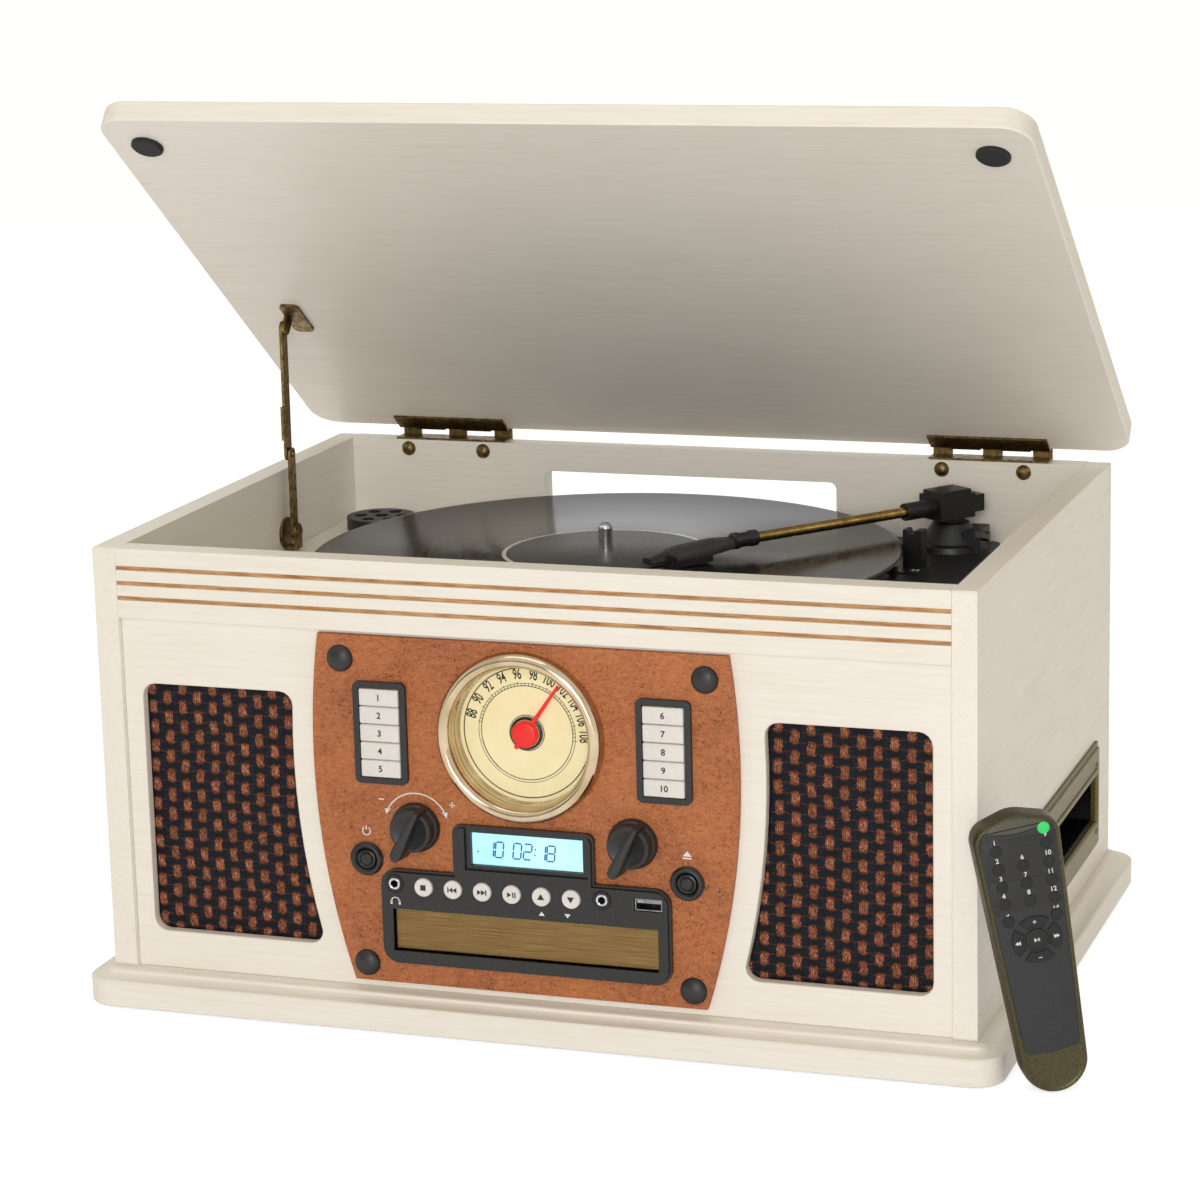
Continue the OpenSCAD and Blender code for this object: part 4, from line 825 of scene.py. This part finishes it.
def makeKeys(s):
    for side, word, first in ((-1, "left", 1), (1, "right", 6)):
        for i in range(5):
            at = (cabinet["midX"] + side * s["x"], 0.0, s["z"] + (2 - i) * s["pitch"])
            body = "key_%s_%d" % (word, i + 1)
            f = s["front"]
            steps = [(0, -s["back"]), (0, f - 0.9), (0.18, f - 0.35), (0.45, f - 0.08), (0.65, f)]
            cap = slab(roundRect(s["width"], s["height"], 0.7, 4), steps)
            makePiece("cap_" + body, put(cap, at), keyWhite, body, [body], 50)
            n = lettering(str(first + i), s["number"], 0.12, 0.08)
            makePiece("number_" + body, put(n, (at[0], -s["front"] - 0.05, at[2])), blackInk, body)


makeKeys(key)
softened("fascia_trim", 0.35, satinBlack)

# rotary knobs: skirt, dished cap and a grip that flares from a narrow tip to a broad overhanging tail
knob = {"x": 54.2, "z": 103.4, "skirt": 12.0, "cap": 9.2, "reach": 16.0, "turn": 28.0, "tip": 13.2, "tail": 15.4}


def makeKnob(side, name, body, s):
    at = (cabinet["midX"] + side * s["x"], 0.0, s["z"])
    shaft = turned([[0, -12], [3, -12], [3, 1], [0, 1]], 24)
    r, tail, tip = s["skirt"], s["tail"], s["tip"]
    skirt = turned([[0, 0.5], [r, 0.5], [r, 2.6], [r - 0.5, 3.6], [r - 1.3, 4.4], [r - 1.5, 8.4], [r - 2.0, 9.4],
                    [r - 2.8, 9.9], [r - 4.2, 9.6], [r - 4.8, 9.2], [0, 8.9]], 64)
    v = np.linspace(-tail, tip, 22)
    # half width falls from 3.5 near the tail to 1.2 at the tip, with a rounded tail
    half = np.interp(v, [-tail, -tail + 1.2, -11.0, 0.0, 9.0, tip - 0.3, tip], [1.9, 3.0, 3.5, 2.5, 1.75, 1.6, 1.2])
    loop = np.concatenate([np.stack([half, v], -1), np.stack([-half, v], -1)[::-1]])
    top = s["reach"]
    steps = [(1.12, 4.6), (1.0, 7.0), (0.92, 11.0), (0.82, top - 1.2), (0.62, top - 0.3), (0.3, top)]
    grip = strip(np.stack([np.concatenate([loop * np.array([k, 1.0 - 0.012 * i]), np.full((len(loop), 1), h)], 1)
                           for i, (k, h) in enumerate(steps)]))
    makePiece(name, put(joined([shaft, skirt, grip]), at, turnedBy(s["turn"])), knobBlack, body, [body], 42)


makeKnob(-1, "volumeKnob", "volume_knob", knob)
makeKnob(1, "tuningKnob", "tuning_knob", knob)

# ringed push caps beside the knobs
pushCap = {"x": 80.2, "z": 85.8, "radius": 5.0}
for side, name in ((-1, "power_button"), (1, "eject_button")):
    r = pushCap["radius"]
    shape = turned([[0, -9], [r, -9], [r, 0.9], [r - 0.4, 1.6], [r - 1.0, 1.8], [r - 1.5, 1.5], [r - 1.8, 1.0],
                    [2.9, 1.0], [2.6, 1.5], [1.2, 1.75], [0, 1.8]], 48)
    at = (cabinet["midX"] + side * pushCap["x"], 0, pushCap["z"])
    makePiece("ringed_" + name, put(shape, at), glossBlack, name, [name])

# white ink on the leather: volume arc with arrowheads, minus and plus, and signs over the push caps
ink = {"y": -0.02, "arc": 16.4, "end": 62, "minus": (-17.6, 12.4), "plus": (18.4, 11.8), "over": 13.6, "line": 0.5}


def dash(w, h, x=0.0, y=0.0):
    # a flat rectangle of half width w and half height h about (x, y)
    return plate(np.array([[-w, -h], [w, -h], [w, h], [-w, h]]) + np.array([x, y]))


def makeInk(s):
    vx, vz = cabinet["midX"] - knob["x"], knob["z"]
    knobAt = lambda dx=0.0, dz=0.0: (vx + dx, s["y"], vz + dz)
    inked = [put(stroke(arc(s["arc"], -s["end"], s["end"], 40), 0.6), knobAt())]
    for side in (-1, 1):
        e = arc(s["arc"], side * s["end"], side * s["end"], 1)[0]
        inked.append(put(plate([e + [-1.5, 0.3], e + [side * 0.9, -2.6], e + [1.5, 0.3]]), knobAt()))
    inked.append(put(dash(1.3, 0.28), knobAt(*s["minus"])))
    inked.append(put(joined([dash(1.4, 0.28), dash(0.28, 1.4)]), knobAt(*s["plus"])))
    capAt = lambda side: (cabinet["midX"] + side * pushCap["x"], s["y"], pushCap["z"] + s["over"])
    power = [stroke(arc(2.0, 35, 325, 26), s["line"]), stroke([[0, 0.6], [0, 2.6]], s["line"])]
    eject = [plate([[-2.2, -0.6], [2.2, -0.6], [0, 2.0]]), dash(2.2, 0.35, 0, -1.55)]
    inked += [put(joined(power), capAt(-1)), put(joined(eject), capAt(1))]
    makePiece("leatherInk", joined(inked), whiteInk)


makeInk(ink)
print("controls")

# display digits, each of seven bars, sloped like a calculator's
display = {"x": 219.3, "z": 95.3, "front": -1.0, "height": 7.6, "width": 3.9, "bar": 0.72, "slope": 0.10,
           "digits": [("1", -18.4), ("0", -13.6), ("0", -4.6), ("2", 0.6), ("1", 7.4), ("8", 12.2)], "bars": {
               "0": "abcdef", "1": "bc", "2": "abged", "8": "abcdefg"}}


def makeDisplay(s):
    w, h, b = s["width"] / 2, s["height"] / 2, s["bar"] / 2
    g = 0.16
    # a bar between two ends: a long hexagon with pointed ends, lying or standing
    flat = lambda x0, x1, y: [[x0 + g, y], [x0 + b + g, y + b], [x1 - b - g, y + b], [x1 - g, y],
                              [x1 - b - g, y - b], [x0 + b + g, y - b]]
    stand = lambda y0, y1, x: [[x, y0 + g], [x - b, y0 + b + g], [x - b, y1 - b - g], [x, y1 - g],
                               [x + b, y1 - b - g], [x + b, y0 + b + g]]
    bars = {"a": flat(-w, w, h), "g": flat(-w, w, 0), "d": flat(-w, w, -h), "b": stand(0, h, w), "c": stand(-h, 0, w),
            "f": stand(0, h, -w), "e": stand(-h, 0, -w)}
    shapes = []
    for word, dx in s["digits"]:
        for k in s["bars"][word]:
            shapes.append(plate(np.array(bars[k]) + np.array([dx, 0]), 0.1))
    for dx, dz in ((4.3, 1.4), (4.3, -1.4), (-24.2, -1.6)):
        shapes.append(plate(oval(0.42, n=10) + np.array([dx, dz]), 0.1))
    points = joined(shapes)
    points[0][:, 0] += points[0][:, 1] * s["slope"]
    makePiece("displayDigits", put(points, (s["x"] - 0.5, s["front"] - 0.01, s["z"])), lcdInk)


makeDisplay(display)
softened("cd_bezel", 0.5, glossBlack)

# round transport keys: a shallow dish in a bright rim, with the usual black signs
transport = {"x": 167.2, "pitch": 14.85, "z": 74.7, "radius": 4.6, "front": 5.2}


def makeTransport(s):
    r, f = s["radius"], s["front"]
    wedge = np.array([[-0.95, -1.35], [1.05, 0.0], [-0.95, 1.35]])
    tri = lambda dx, k: plate(wedge * np.array([k, 1]) + np.array([dx, 0]))
    bar = lambda dx: dash(0.28, 1.35, dx)
    signs = [[dash(1.35, 1.35)],
             [bar(-2.1), tri(-0.75, -1), tri(1.25, -1)], [tri(-1.25, 1), tri(0.75, 1), bar(2.1)],
             [tri(-1.0, 1), bar(0.9), bar(2.0)],
             [plate([[-1.75, -1.2], [1.75, -1.2], [0, 1.7]])], [plate([[-1.75, 1.2], [0, -1.7], [1.75, 1.2]])]]
    for i, sign in enumerate(signs):
        body = "transport_%d" % (i + 1)
        at = (s["x"] + i * s["pitch"], 0.0, s["z"])
        cap = turned([[0, -11], [r, -11], [r, f - 1.0], [r - 0.25, f - 0.4], [r - 0.7, f - 0.1], [r - 1.1, f - 0.2],
                      [r - 1.8, f - 0.35], [0, f - 0.4]], 40)
        makePiece("cap_" + body, put(cap, at), keyWhite, body, [body], 50)
        makePiece("sign_" + body, put(joined(sign), (at[0], -f + 0.36, at[2])), blackInk, body)


makeTransport(transport)

# dark nuts and bright sleeves on the two round sockets, and signs under the left one and the last two keys
sockets = {"x": (152.4, 256.7), "z": 75.5, "signs": -4.02}


def onSockets(name, profile, n, material):
    rings = [put(turned(profile, n, ring=True), (x, 0, sockets["z"])) for x in sockets["x"]]
    makePiece(name, joined(rings), material)


onSockets("socketNuts", [[3.1, 0.2], [4.55, 0.2], [4.55, 3.9], [4.2, 4.4], [3.5, 4.4], [3.1, 3.9]], 40, glossBlack)
onSockets("socketSleeves", [[1.85, 1.0], [2.75, 1.0], [2.75, 4.7], [2.4, 4.95], [1.85, 4.6]], 36, bareSteel)
ear = joined([stroke(arc(2.1, -96, 96, 22), 0.45), dash(0.5, 0.95, -2.1, -0.45), dash(0.5, 0.95, 2.1, -0.45)])
makePiece("headphoneSign", put(ear, (152.6, sockets["signs"], 66.6)), whiteInk)
folder = joined([plate([[-1.5, -0.9], [1.5, -0.9], [0, 1.1]]), plate([[11.4, 0.9], [12.9, -1.1], [14.4, 0.9]])])
makePiece("stepSigns", put(folder, (226.6, sockets["signs"], 66.4)), whiteInk)
softened("cd_tray", 0.35, trayBrass, "tray")
print("disc player")

# boards with eased edges stand for their sharp solids
boards = {"front_baffle": 0.9, "front_frieze": 0.35, "left_side_panel": 0.5, "right_side_panel": 0.5, "back_panel": 0.5,
          "lid_board": 0.35, "base_board": 0.35, "fascia_panel": 0.9, "deck_plate": 0.5, "cassette_plate": 0.45}
for name, width in boards.items():
    softened(name, width, finishes[name], "lid" if name == "lid_board" else "cabinet")
print("boards")

# record: grooved disc with a raised label and a raised rim, about the spindle
disc = {"radius": 150.5, "bore": 3.66, "thick": 1.6, "label": 50.8}


def discPlace():
    lo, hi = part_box("record")
    return ((lo[0] + hi[0]) / 2 - shiftX) * 1000, ((lo[1] + hi[1]) / 2 - shiftY) * 1000, lo[2] * 1000


def makeRecord(s):
    x, y, z = discPlace()
    t = s["thick"]
    p = [[s["bore"], 0.1], [s["label"], 0.1], [s["label"] + 1, 0.3], [s["radius"] - 3, 0.3], [s["radius"] - 1.5, 0.0],
         [s["radius"] - 0.4, 0.25], [s["radius"], t / 2], [s["radius"] - 0.4, t - 0.25], [s["radius"] - 1.5, t],
         [s["radius"] - 3.2, t - 0.22], [s["label"] + 1.6, t - 0.22], [s["label"] + 0.6, t], [s["bore"], t]]
    makePiece("playedRecord", put(turned(p, 200, ring=True), (x, y, z), "top"), vinyl, "platter", ["record"], 60)
    label = [[s["bore"] + 0.2, t], [s["label"] - 0.8, t], [s["label"] - 1.0, t + 0.12], [s["bore"] + 0.2, t + 0.12]]
    makePiece("recordLabel", put(turned(label, 120, ring=True), (x, y, z), "top"), labelPaper, "platter")


makeRecord(disc)

# tonearm parts in the arm's own directions: along the tube, sideways and up
arm = {"x": 357.0, "y": 277.5, "yaw": -127.3, "over": 8.6, "tube": 2.7, "length": 133.0, "collar": 31.0,
       "shell": 56.0, "droop": 4.0, "turn": 6.0}
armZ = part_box("record")[1][2] * 1000 + arm["over"]
a = math.radians(arm["yaw"])
armAxes = ((math.cos(a), math.sin(a), 0), (-math.sin(a), math.cos(a), 0), (0, 0, 1))


def makeArm(s):
    at = (s["x"], s["y"], armZ)
    n = 40
    u = np.linspace(s["collar"] - 1, s["length"] - 2, n)
    tube = pipe(np.stack([u, 0 * u, 0 * u], -1), np.full(n, s["tube"]), n=24)
    makePiece("armTube", put(tube, at, armAxes), armBrass, "arm", ["tone_arm"], 60)
    # collar: rings of changing radius along the tube's end
    u = np.array([-7, -6.6, -3, -2.6, 4.6, 5, 7.6, 8]) + s["length"]
    r = np.array([2.9, 4.0, 4.2, 3.7, 3.7, 4.3, 4.3, 3.6])
    ring = pipe(np.stack([u, 0 * u, 0 * u], -1), r, n=28)
    # headshell: a crowned shell whose section widens from the collar, then narrows and thins at the tip
    t = np.linspace(0, 1, 26)
    along = 5 + (s["shell"] - 5) * t
    half = np.interp(t, [0, 0.12, 0.3, 0.55, 0.9, 1.0], [3.4, 4.6, 7.0, 7.7, 6.6, 5.2])
    top = np.interp(t, [0, 0.25, 0.6, 1.0], [2.6, 3.9, 3.6, 0.9])
    low = np.interp(t, [0, 0.2, 1.0], [-2.4, -2.6, -2.5])
    k = np.array([[-1, 0.0], [-1, 0.55], [-0.78, 0.9], [0, 1.0], [0.78, 0.9], [1, 0.55], [1, 0.0], [0.94, 0.0],
                  [-0.94, 0.0]])
    section = np.stack([k[None, :, 0] * half[:, None], low[:, None] + k[None, :, 1] * (top - low)[:, None]], -1)
    pts = np.concatenate([along[:, None, None] + 0 * section[..., :1], section], -1)
    shell = strip(pts)
    cartridge = slab(roundRect(27, 12.4, 1.6), [(0.5, -6.1), (0, -5.7), (0, -2.7), (0.4, -2.4)])
    cartridge = (cartridge[0] + np.array([35, 0, 0]), cartridge[1])
    # finger lift: a flat strip that leaves the shell's side and curls up, 1.6 sin t
    curl = np.stack([np.full(9, s["shell"] - 8.0), np.linspace(6.4, 14.2, 9),
                     1.6 * np.sin(np.linspace(0, 2.4, 9)) - 1.4], -1)
    lift = carried(curl, [[-3.2, -0.5], [3.2, -0.5], [3.0, 0.5], [-3.0, 0.5]], ref=(1, 0, 0))
    d, w = math.radians(s["droop"]), math.radians(-s["turn"])
    tilt = np.array([[math.cos(d), 0, -math.sin(d)], [0, 1, 0], [math.sin(d), 0, math.cos(d)]])
    yaw = np.array([[math.cos(w), math.sin(w), 0], [-math.sin(w), math.cos(w), 0], [0, 0, 1]])
    head = joined([shell, cartridge, lift])
    head = (head[0] @ tilt @ yaw + np.array([s["length"], 0, 0]), head[1])
    makePiece("armHeadshell", put(joined([ring, head]), at, armAxes), knobBlack, "arm", smooth=42)


makeArm(arm)
softened("tonearm_housing", 0.9, satinBlack, "arm")
softened("tonearm_turret", 0.4, satinBlack, "arm_turret")
softened("cue_lever", 0.5, satinBlack, "cue_lever")
softened("speed_switch", 0.4, knobBlack, "speed_switch")
softened("adapter_45", 0.4, satinBlack)
# white speeds on the deck plate, beside the switch's slot
speed = {"at": (346.5, 219.5, 189.34), "apart": 5.5, "size": 5.0}
marks = [put(lettering(word, speed["size"]), np.array(speed["at"]) + [side * speed["apart"], 0, 0], "top")
         for word, side in (("33", -1), ("45", 1))]
makePiece("speedMarks", joined(marks), whiteInk)
print("record and arm")

# lid pieces are worked out on the closed lid and turned with it about the hinge line
hinge = {"y": 313.2, "z": 242.5, "open": 37.0, "leaves": (37.8, 339.8), "under": 234.0, "back": 309.5,
         "screwFrom": 8.0, "screwStep": 16.0, "screwIn": 7.5, "leafThick": 1.2, "padsBefore": 30.0}


def onLid(shape, s=hinge):
    c, n = math.cos(math.radians(s["open"])), math.sin(math.radians(s["open"]))
    p = shape[0] - np.array([0, s["y"], s["z"]])
    q = np.stack([p[:, 0], p[:, 1] * c + p[:, 2] * n, -p[:, 1] * n + p[:, 2] * c], -1)
    return q + np.array([0, s["y"], s["z"]]), shape[1]


def lidParts(c):
    # centres of the faces go back to the closed lid, where the two rubber pads are near its front edge
    a = math.radians(hinge["open"])
    y, z = c[:, 1] - hinge["y"], c[:, 2] - hinge["z"]
    return (hinge["y"] + y * math.cos(a) - z * math.sin(a)) < hinge["padsBefore"]


softened("lid_fittings", 0.22, [agedBrass, feetRubber], "lid", lidParts)
softened("cabinet_fittings", 0.22, agedBrass)
softened("stay_upper_link", 0.3, agedBrass, "stay_upper")
softened("stay_lower_link", 0.3, agedBrass, "stay_lower")


def screwHead(r, h):
    # domed head: a low curve of seven rings
    return turned([[0, -0.6], [r, -0.6], [r, h * 0.15], [r * 0.9, h * 0.45], [r * 0.66, h * 0.8], [r * 0.35, h],
                   [0, h * 1.02]], 24)


heads = []
for x0 in hinge["leaves"]:
    for i in range(4):
        at = (x0 + hinge["screwFrom"] + hinge["screwStep"] * i, hinge["back"] - hinge["screwIn"],
              hinge["under"] - hinge["leafThick"])
        heads.append(put(screwHead(2.7, 0.22), at, "under"))
makePiece("lidLeafScrews", onLid(joined(heads)), agedBrass, "lid", smooth=50)
print("hinges and stay")

# cassette slot: screws on the plate, pinch roller, bright hub and head block inside
tape = {"x": 435.0, "y0": 125.3, "y1": 272.3, "mid": 206.3, "z": 63.0, "inner": 422.7, "plate": 2.6, "hubs": -12.3}


def makeTape(s):
    heads = [put(screwHead(2.6, 0.9), (s["x"] + s["plate"], y, s["z"] + dz), "right")
             for y in (s["y1"] - 9.0, s["y0"] + 11.0) for dz in (16.5, -17.5)]
    makePiece("plateScrews", joined(heads), plateBronze, smooth=50)
    steps = [(0, 0), (0, 0.5), (0.25, 1.0), (0.8, 0.9), (1, 0.3), (1, 0)]
    lip = collar(roundRect(117, 31.6, 2.2), roundRect(111.0, 25.6, 1.2), steps)
    makePiece("mouthLip", put(lip, (s["x"] + s["plate"] - 0.02, s["mid"], s["z"]), "right"), plateBronze, smooth=50)
    x, low = s["inner"] - 12, s["z"] + s["hubs"]
    steps = [(0, 0), (0, 12.2), (1, 12.2), (1, 0)]
    throat = collar(roundRect(109.8, 24.6, 0.6, 3), roundRect(108.6, 23.4, 0.4, 3), steps)
    makePiece("mouthThroat", put(throat, (s["inner"] + 0.05, s["mid"], s["z"]), "right"), glossBlack)
    capstan = turned([[0, 0], [6.4, 0], [6.4, 1.2], [4.6, 1.6], [4.2, 6.5], [3.2, 7.6], [1.2, 8], [0, 8]], 36)
    roller = turned([[0, 0], [5.2, 0], [5.2, 6.0], [4.9, 6.6], [0, 6.8]], 36)
    hub = joined([put(capstan, (x, 227.5, low), "top"), put(roller, (x + 6, 196.0, low), "top")])
    makePiece("tapeCapstan", hub, bareSteel, smooth=50)
    head = slab(roundRect(30, 9, 1.5), [(0, 0), (0, 12), (0.6, 13)])
    rail = slab(roundRect(96, 18, 1.2), [(0, 0), (0, 1.6), (0.5, 2.0)])
    block = [put(head, (x - 4, s["mid"], low), ((0, 1, 0), (-1, 0, 0), (0, 0, 1))),
             put(rail, (s["inner"] - 24, s["mid"], s["z"] + 1.0), "right")]
    makePiece("tapeHeadBlock", joined(block), glossBlack)
    bends = [[x + 9, 168, s["z"] - 9], [x + 10, 180, s["z"] - 4], [x + 10, 200, s["z"] + 3], [x + 10, 236, s["z"] + 4]]
    makePiece("tapeGuideWire", pipe(bends, 0.9, ref=(1, 0, 0.01)), bareSteel)


makeTape(tape)

# handset, in its own directions: across, up its length and outwards from its back
remote = {"x": 464.5, "z": 15.5, "lean": 9.5, "yaw": 25.0, "keyRadius": 2.7, "keyTop": 16.0,
          "circles": [(0, 0, 15.5), (-11, 106.5, 9), (11, 106.5, 9), (0, 101.5, 17)],
          "keys": [(-10.7, 103.6), (-10.8, 94.9), (-10.5, 86.4), (-10.5, 78.1), (-10.2, 69.6), (0.6, 94.5), (0.8, 86.1),
                   (1.0, 77.7), (12.5, 102.8), (12.4, 94.0), (12.3, 85.2), (12.2, 76.8), (11.9, 68.7)],
          "green": (12.3, 110.0), "nav": (1.1, 59.0)}


def remoteAxes(s):
    l, y = math.radians(-s["lean"]), math.radians(s["yaw"])
    turn = lambda v: (v[0] * math.cos(y) - v[1] * math.sin(y), v[0] * math.sin(y) + v[1] * math.cos(y), v[2])
    across, up, out = (math.cos(l), 0, -math.sin(l)), (math.sin(l), 0, math.cos(l)), (0, -1, 0)
    return turn(across), turn(up), turn(out)


def makeRemote(s):
    axes = remoteAxes(s)
    at = (s["x"], (s["x"] - cabinet["width"]) * math.tan(math.radians(s["yaw"])) - 0.3, s["z"])
    loop = evened(hullOf(s["circles"], 360), 220)
    case = slab(loop, [(2.6, 0.0), (1.4, 0.35), (0.5, 1.3), (0.05, 3.0), (0.0, 5.0), (0.0, 10.5), (0.1, 12.6),
                       (0.45, 14.3), (0.95, 15.2), (1.5, 15.5), (2.0, 15.35), (2.5, 14.9), (3.2, 14.8)])
    makePiece("handsetCase", put(case, at, axes), caseBronze, "handset", ["remote_control"], 60)
    # face: the case's outline drawn in, cut level near the foot, with a hollow top under the crown
    v = np.linspace(6.0, 112.5, 60)
    half = np.interp(v, [6, 8, 20, 60, 100, 107, 110.5, 112.5], [11.8, 12.8, 13.7, 15.8, 17.6, 17.5, 16.6, 14.6])
    top = np.stack([np.linspace(13.6, -13.6, 15), 112.8 - 3.4
                    * np.cos(np.linspace(-np.pi / 2, np.pi / 2, 15)) ** 0.8], -1)
    foot = np.stack([np.linspace(-10.4, 10.4, 9), 5.2 - 0.7 * np.cos(np.linspace(-np.pi / 2, np.pi / 2, 9))], -1)
    face = evened(np.concatenate([np.stack([half, v], -1), top, np.stack([-half, v], -1)[::-1], foot]), 200)
    face = slab(face, [(0, 14.0), (0, 14.9), (0.3, 15.15), (0.7, 15.25)])
    makePiece("handsetFace", put(face, at, axes), remoteFace, "handset", smooth=50)
    panels = []
    for z0, z1 in ((88.9, 107.6), (73.2, 88.5)):
        w = np.interp([z0, z1], [70, 110], [14.9, 16.3])
        quad = np.array([[w[0], z0], [w[1], z1], [-w[1], z1], [-w[0], z0]])
        quad[:, 1] += quad[:, 0] * -0.03
        panels.append(slab(quad, [(0, 15.2), (0, 15.42), (0.15, 15.47)]))
    makePiece("handsetPanels", put(joined(panels), at, axes), glossBlack, "handset")
    cap = lambda r, h: turned([[0, 14.6], [r, 14.6], [r, h - 0.5], [r - 0.3, h - 0.12], [r - 0.9, h], [0, h + 0.05]],
                              28)
    move = lambda shape, x, y, z=0.0: (shape[0] + np.array([x, y, z]), shape[1])
    keys = [move(cap(s["keyRadius"], s["keyTop"]), u, v) for u, v in s["keys"]]
    makePiece("handsetKeys", put(joined(keys), at, axes), remoteRubber, "handset", smooth=50)
    green = move(cap(2.9, s["keyTop"] + 0.1), *s["green"])
    makePiece("handsetGreenKey", put(green, at, axes), remoteGreen, "handset", smooth=50)
    # ring of four keys about a round one: sectors of a wide band, each with rounded ends
    nav, squash = [], np.array([1.0, 0.95, 1.0])
    for mid in (0, 90, 180, 270):
        o = np.concatenate([arc(11.6, mid - 37, mid + 37, 16), arc(6.3, mid + 34, mid - 34, 12)])[::-1]
        nav.append(move(slab(o * squash[:2], [(0, 14.8), (0, 15.75), (0.25, 16.0), (0.6, 16.1)]), *s["nav"]))
    points, faces = cap(5.5, s["keyTop"] + 0.05)
    nav.append(move((points * squash, faces), *s["nav"]))
    makePiece("handsetRing", put(joined(nav), at, axes), remoteRubber, "handset", smooth=50)
    wedge = np.array([[-0.7, -1.0], [0.7, 0], [-0.7, 1.0]])
    tri = lambda dx, k: plate(wedge * np.array([k, 1]) + np.array([dx, 0]))
    onRing = lambda shapes, dx, dy: move(joined(shapes), s["nav"][0] + dx, s["nav"][1] + dy, s["keyTop"] + 0.08)
    signs = [onRing([tri(-0.6, -1), tri(0.6, -1)], -9.0, 0), onRing([tri(-0.6, 1), tri(0.6, 1)], 9.0, 0),
             onRing([tri(-0.5, 1), dash(0.14, 0.8, 0.6), dash(0.14, 0.8, 1.1)], -0.2, 0),
             onRing([dash(0.9, 0.16), dash(0.16, 0.9)], 0, 8.6), onRing([dash(0.9, 0.16)], 0, -8.6)]
    for i, (u, w) in enumerate(s["keys"]):
        n = lettering(str(i + 1), 3.1, 0.08, 0.05)
        signs.append(move(n, u, w + 4.0, 15.52 if w > 71 else 15.40))
    makePiece("handsetSigns", put(joined(signs), at, axes), whiteInk, "handset")
    # crown: a lens-shaped band over the face's hollow top
    upper = np.stack([np.linspace(-14.6, 14.6, 25), 112.4 + 4.4 * np.cos(np.linspace(-1.5, 1.5, 25)) ** 0.9], -1)
    lower = np.stack([np.linspace(14.6, -14.6, 25), 112.2 - 2.4 * np.cos(np.linspace(-1.5, 1.5, 25))], -1)
    band = slab(evened(np.concatenate([upper, lower])[::-1], 90), [(0, 14.6), (0, 15.2), (0.4, 15.55), (0.9, 15.7)])
    makePiece("handsetCrown", put(band, at, axes), crownSmoke, "handset", smooth=50)


makeRemote(remote)
print("handset")

stageSet = {"size": 9.0, "colour": srgb(240, 245, 254), "glow": 0.66, "flag": 0.05, "flags": [
    # middle, width and height in metres of dark cards that stand before the object for its polished rims to mirror
    ((-0.2, -3.4, 1.75), 5.0, 0.7), ((0.0, -3.4, 0.62), 5.0, 0.34), ((-2.6, -2.4, 0.9), 1.2, 1.6)]}


def stagePanel(name, corners):
    me = bpy.data.meshes.new(name)
    me.from_pydata(corners, [], [(0, 1, 2, 3)])
    o = bpy.data.objects.new(name, me)
    bpy.context.scene.collection.objects.link(o)
    return o


def makeStage(s):
    # a flat floor of one colour that shows white to the camera and keeps the object's soft shadow
    h = s["size"]
    o = stagePanel("studioFloor", [(-h, -h, 0), (h, -h, 0), (h, h, 0), (-h, h, 0)])
    m, t, b = newMaterial("studioPaper")
    b.inputs["Base Color"].default_value = s["colour"]
    b.inputs["Roughness"].default_value = 0.9
    b.inputs["Specular IOR Level"].default_value = 0.1
    b.inputs["Emission Color"].default_value = (1.0, 1.0, 1.0, 1.0)
    t.links.new(maths(t, "MULTIPLY", seenRays(t), s["glow"]), b.inputs["Emission Strength"])
    o.data.materials.append(m)
    m, t, b = newMaterial("darkCard")
    b.inputs["Base Color"].default_value = (s["flag"], s["flag"], s["flag"], 1.0)
    b.inputs["Roughness"].default_value = 1.0
    for i, (c, w, k) in enumerate(s["flags"]):
        o = stagePanel("darkCard%d" % (i + 1), [(c[0] + x * w / 2, c[1], c[2] + z * k / 2)
                                                for x, z in ((-1, -1), (1, -1), (1, 1), (-1, 1))])
        o.data.materials.append(m)
        o.visible_camera = o.visible_diffuse = o.visible_shadow = o.visible_transmission = False


makeStage(stageSet)
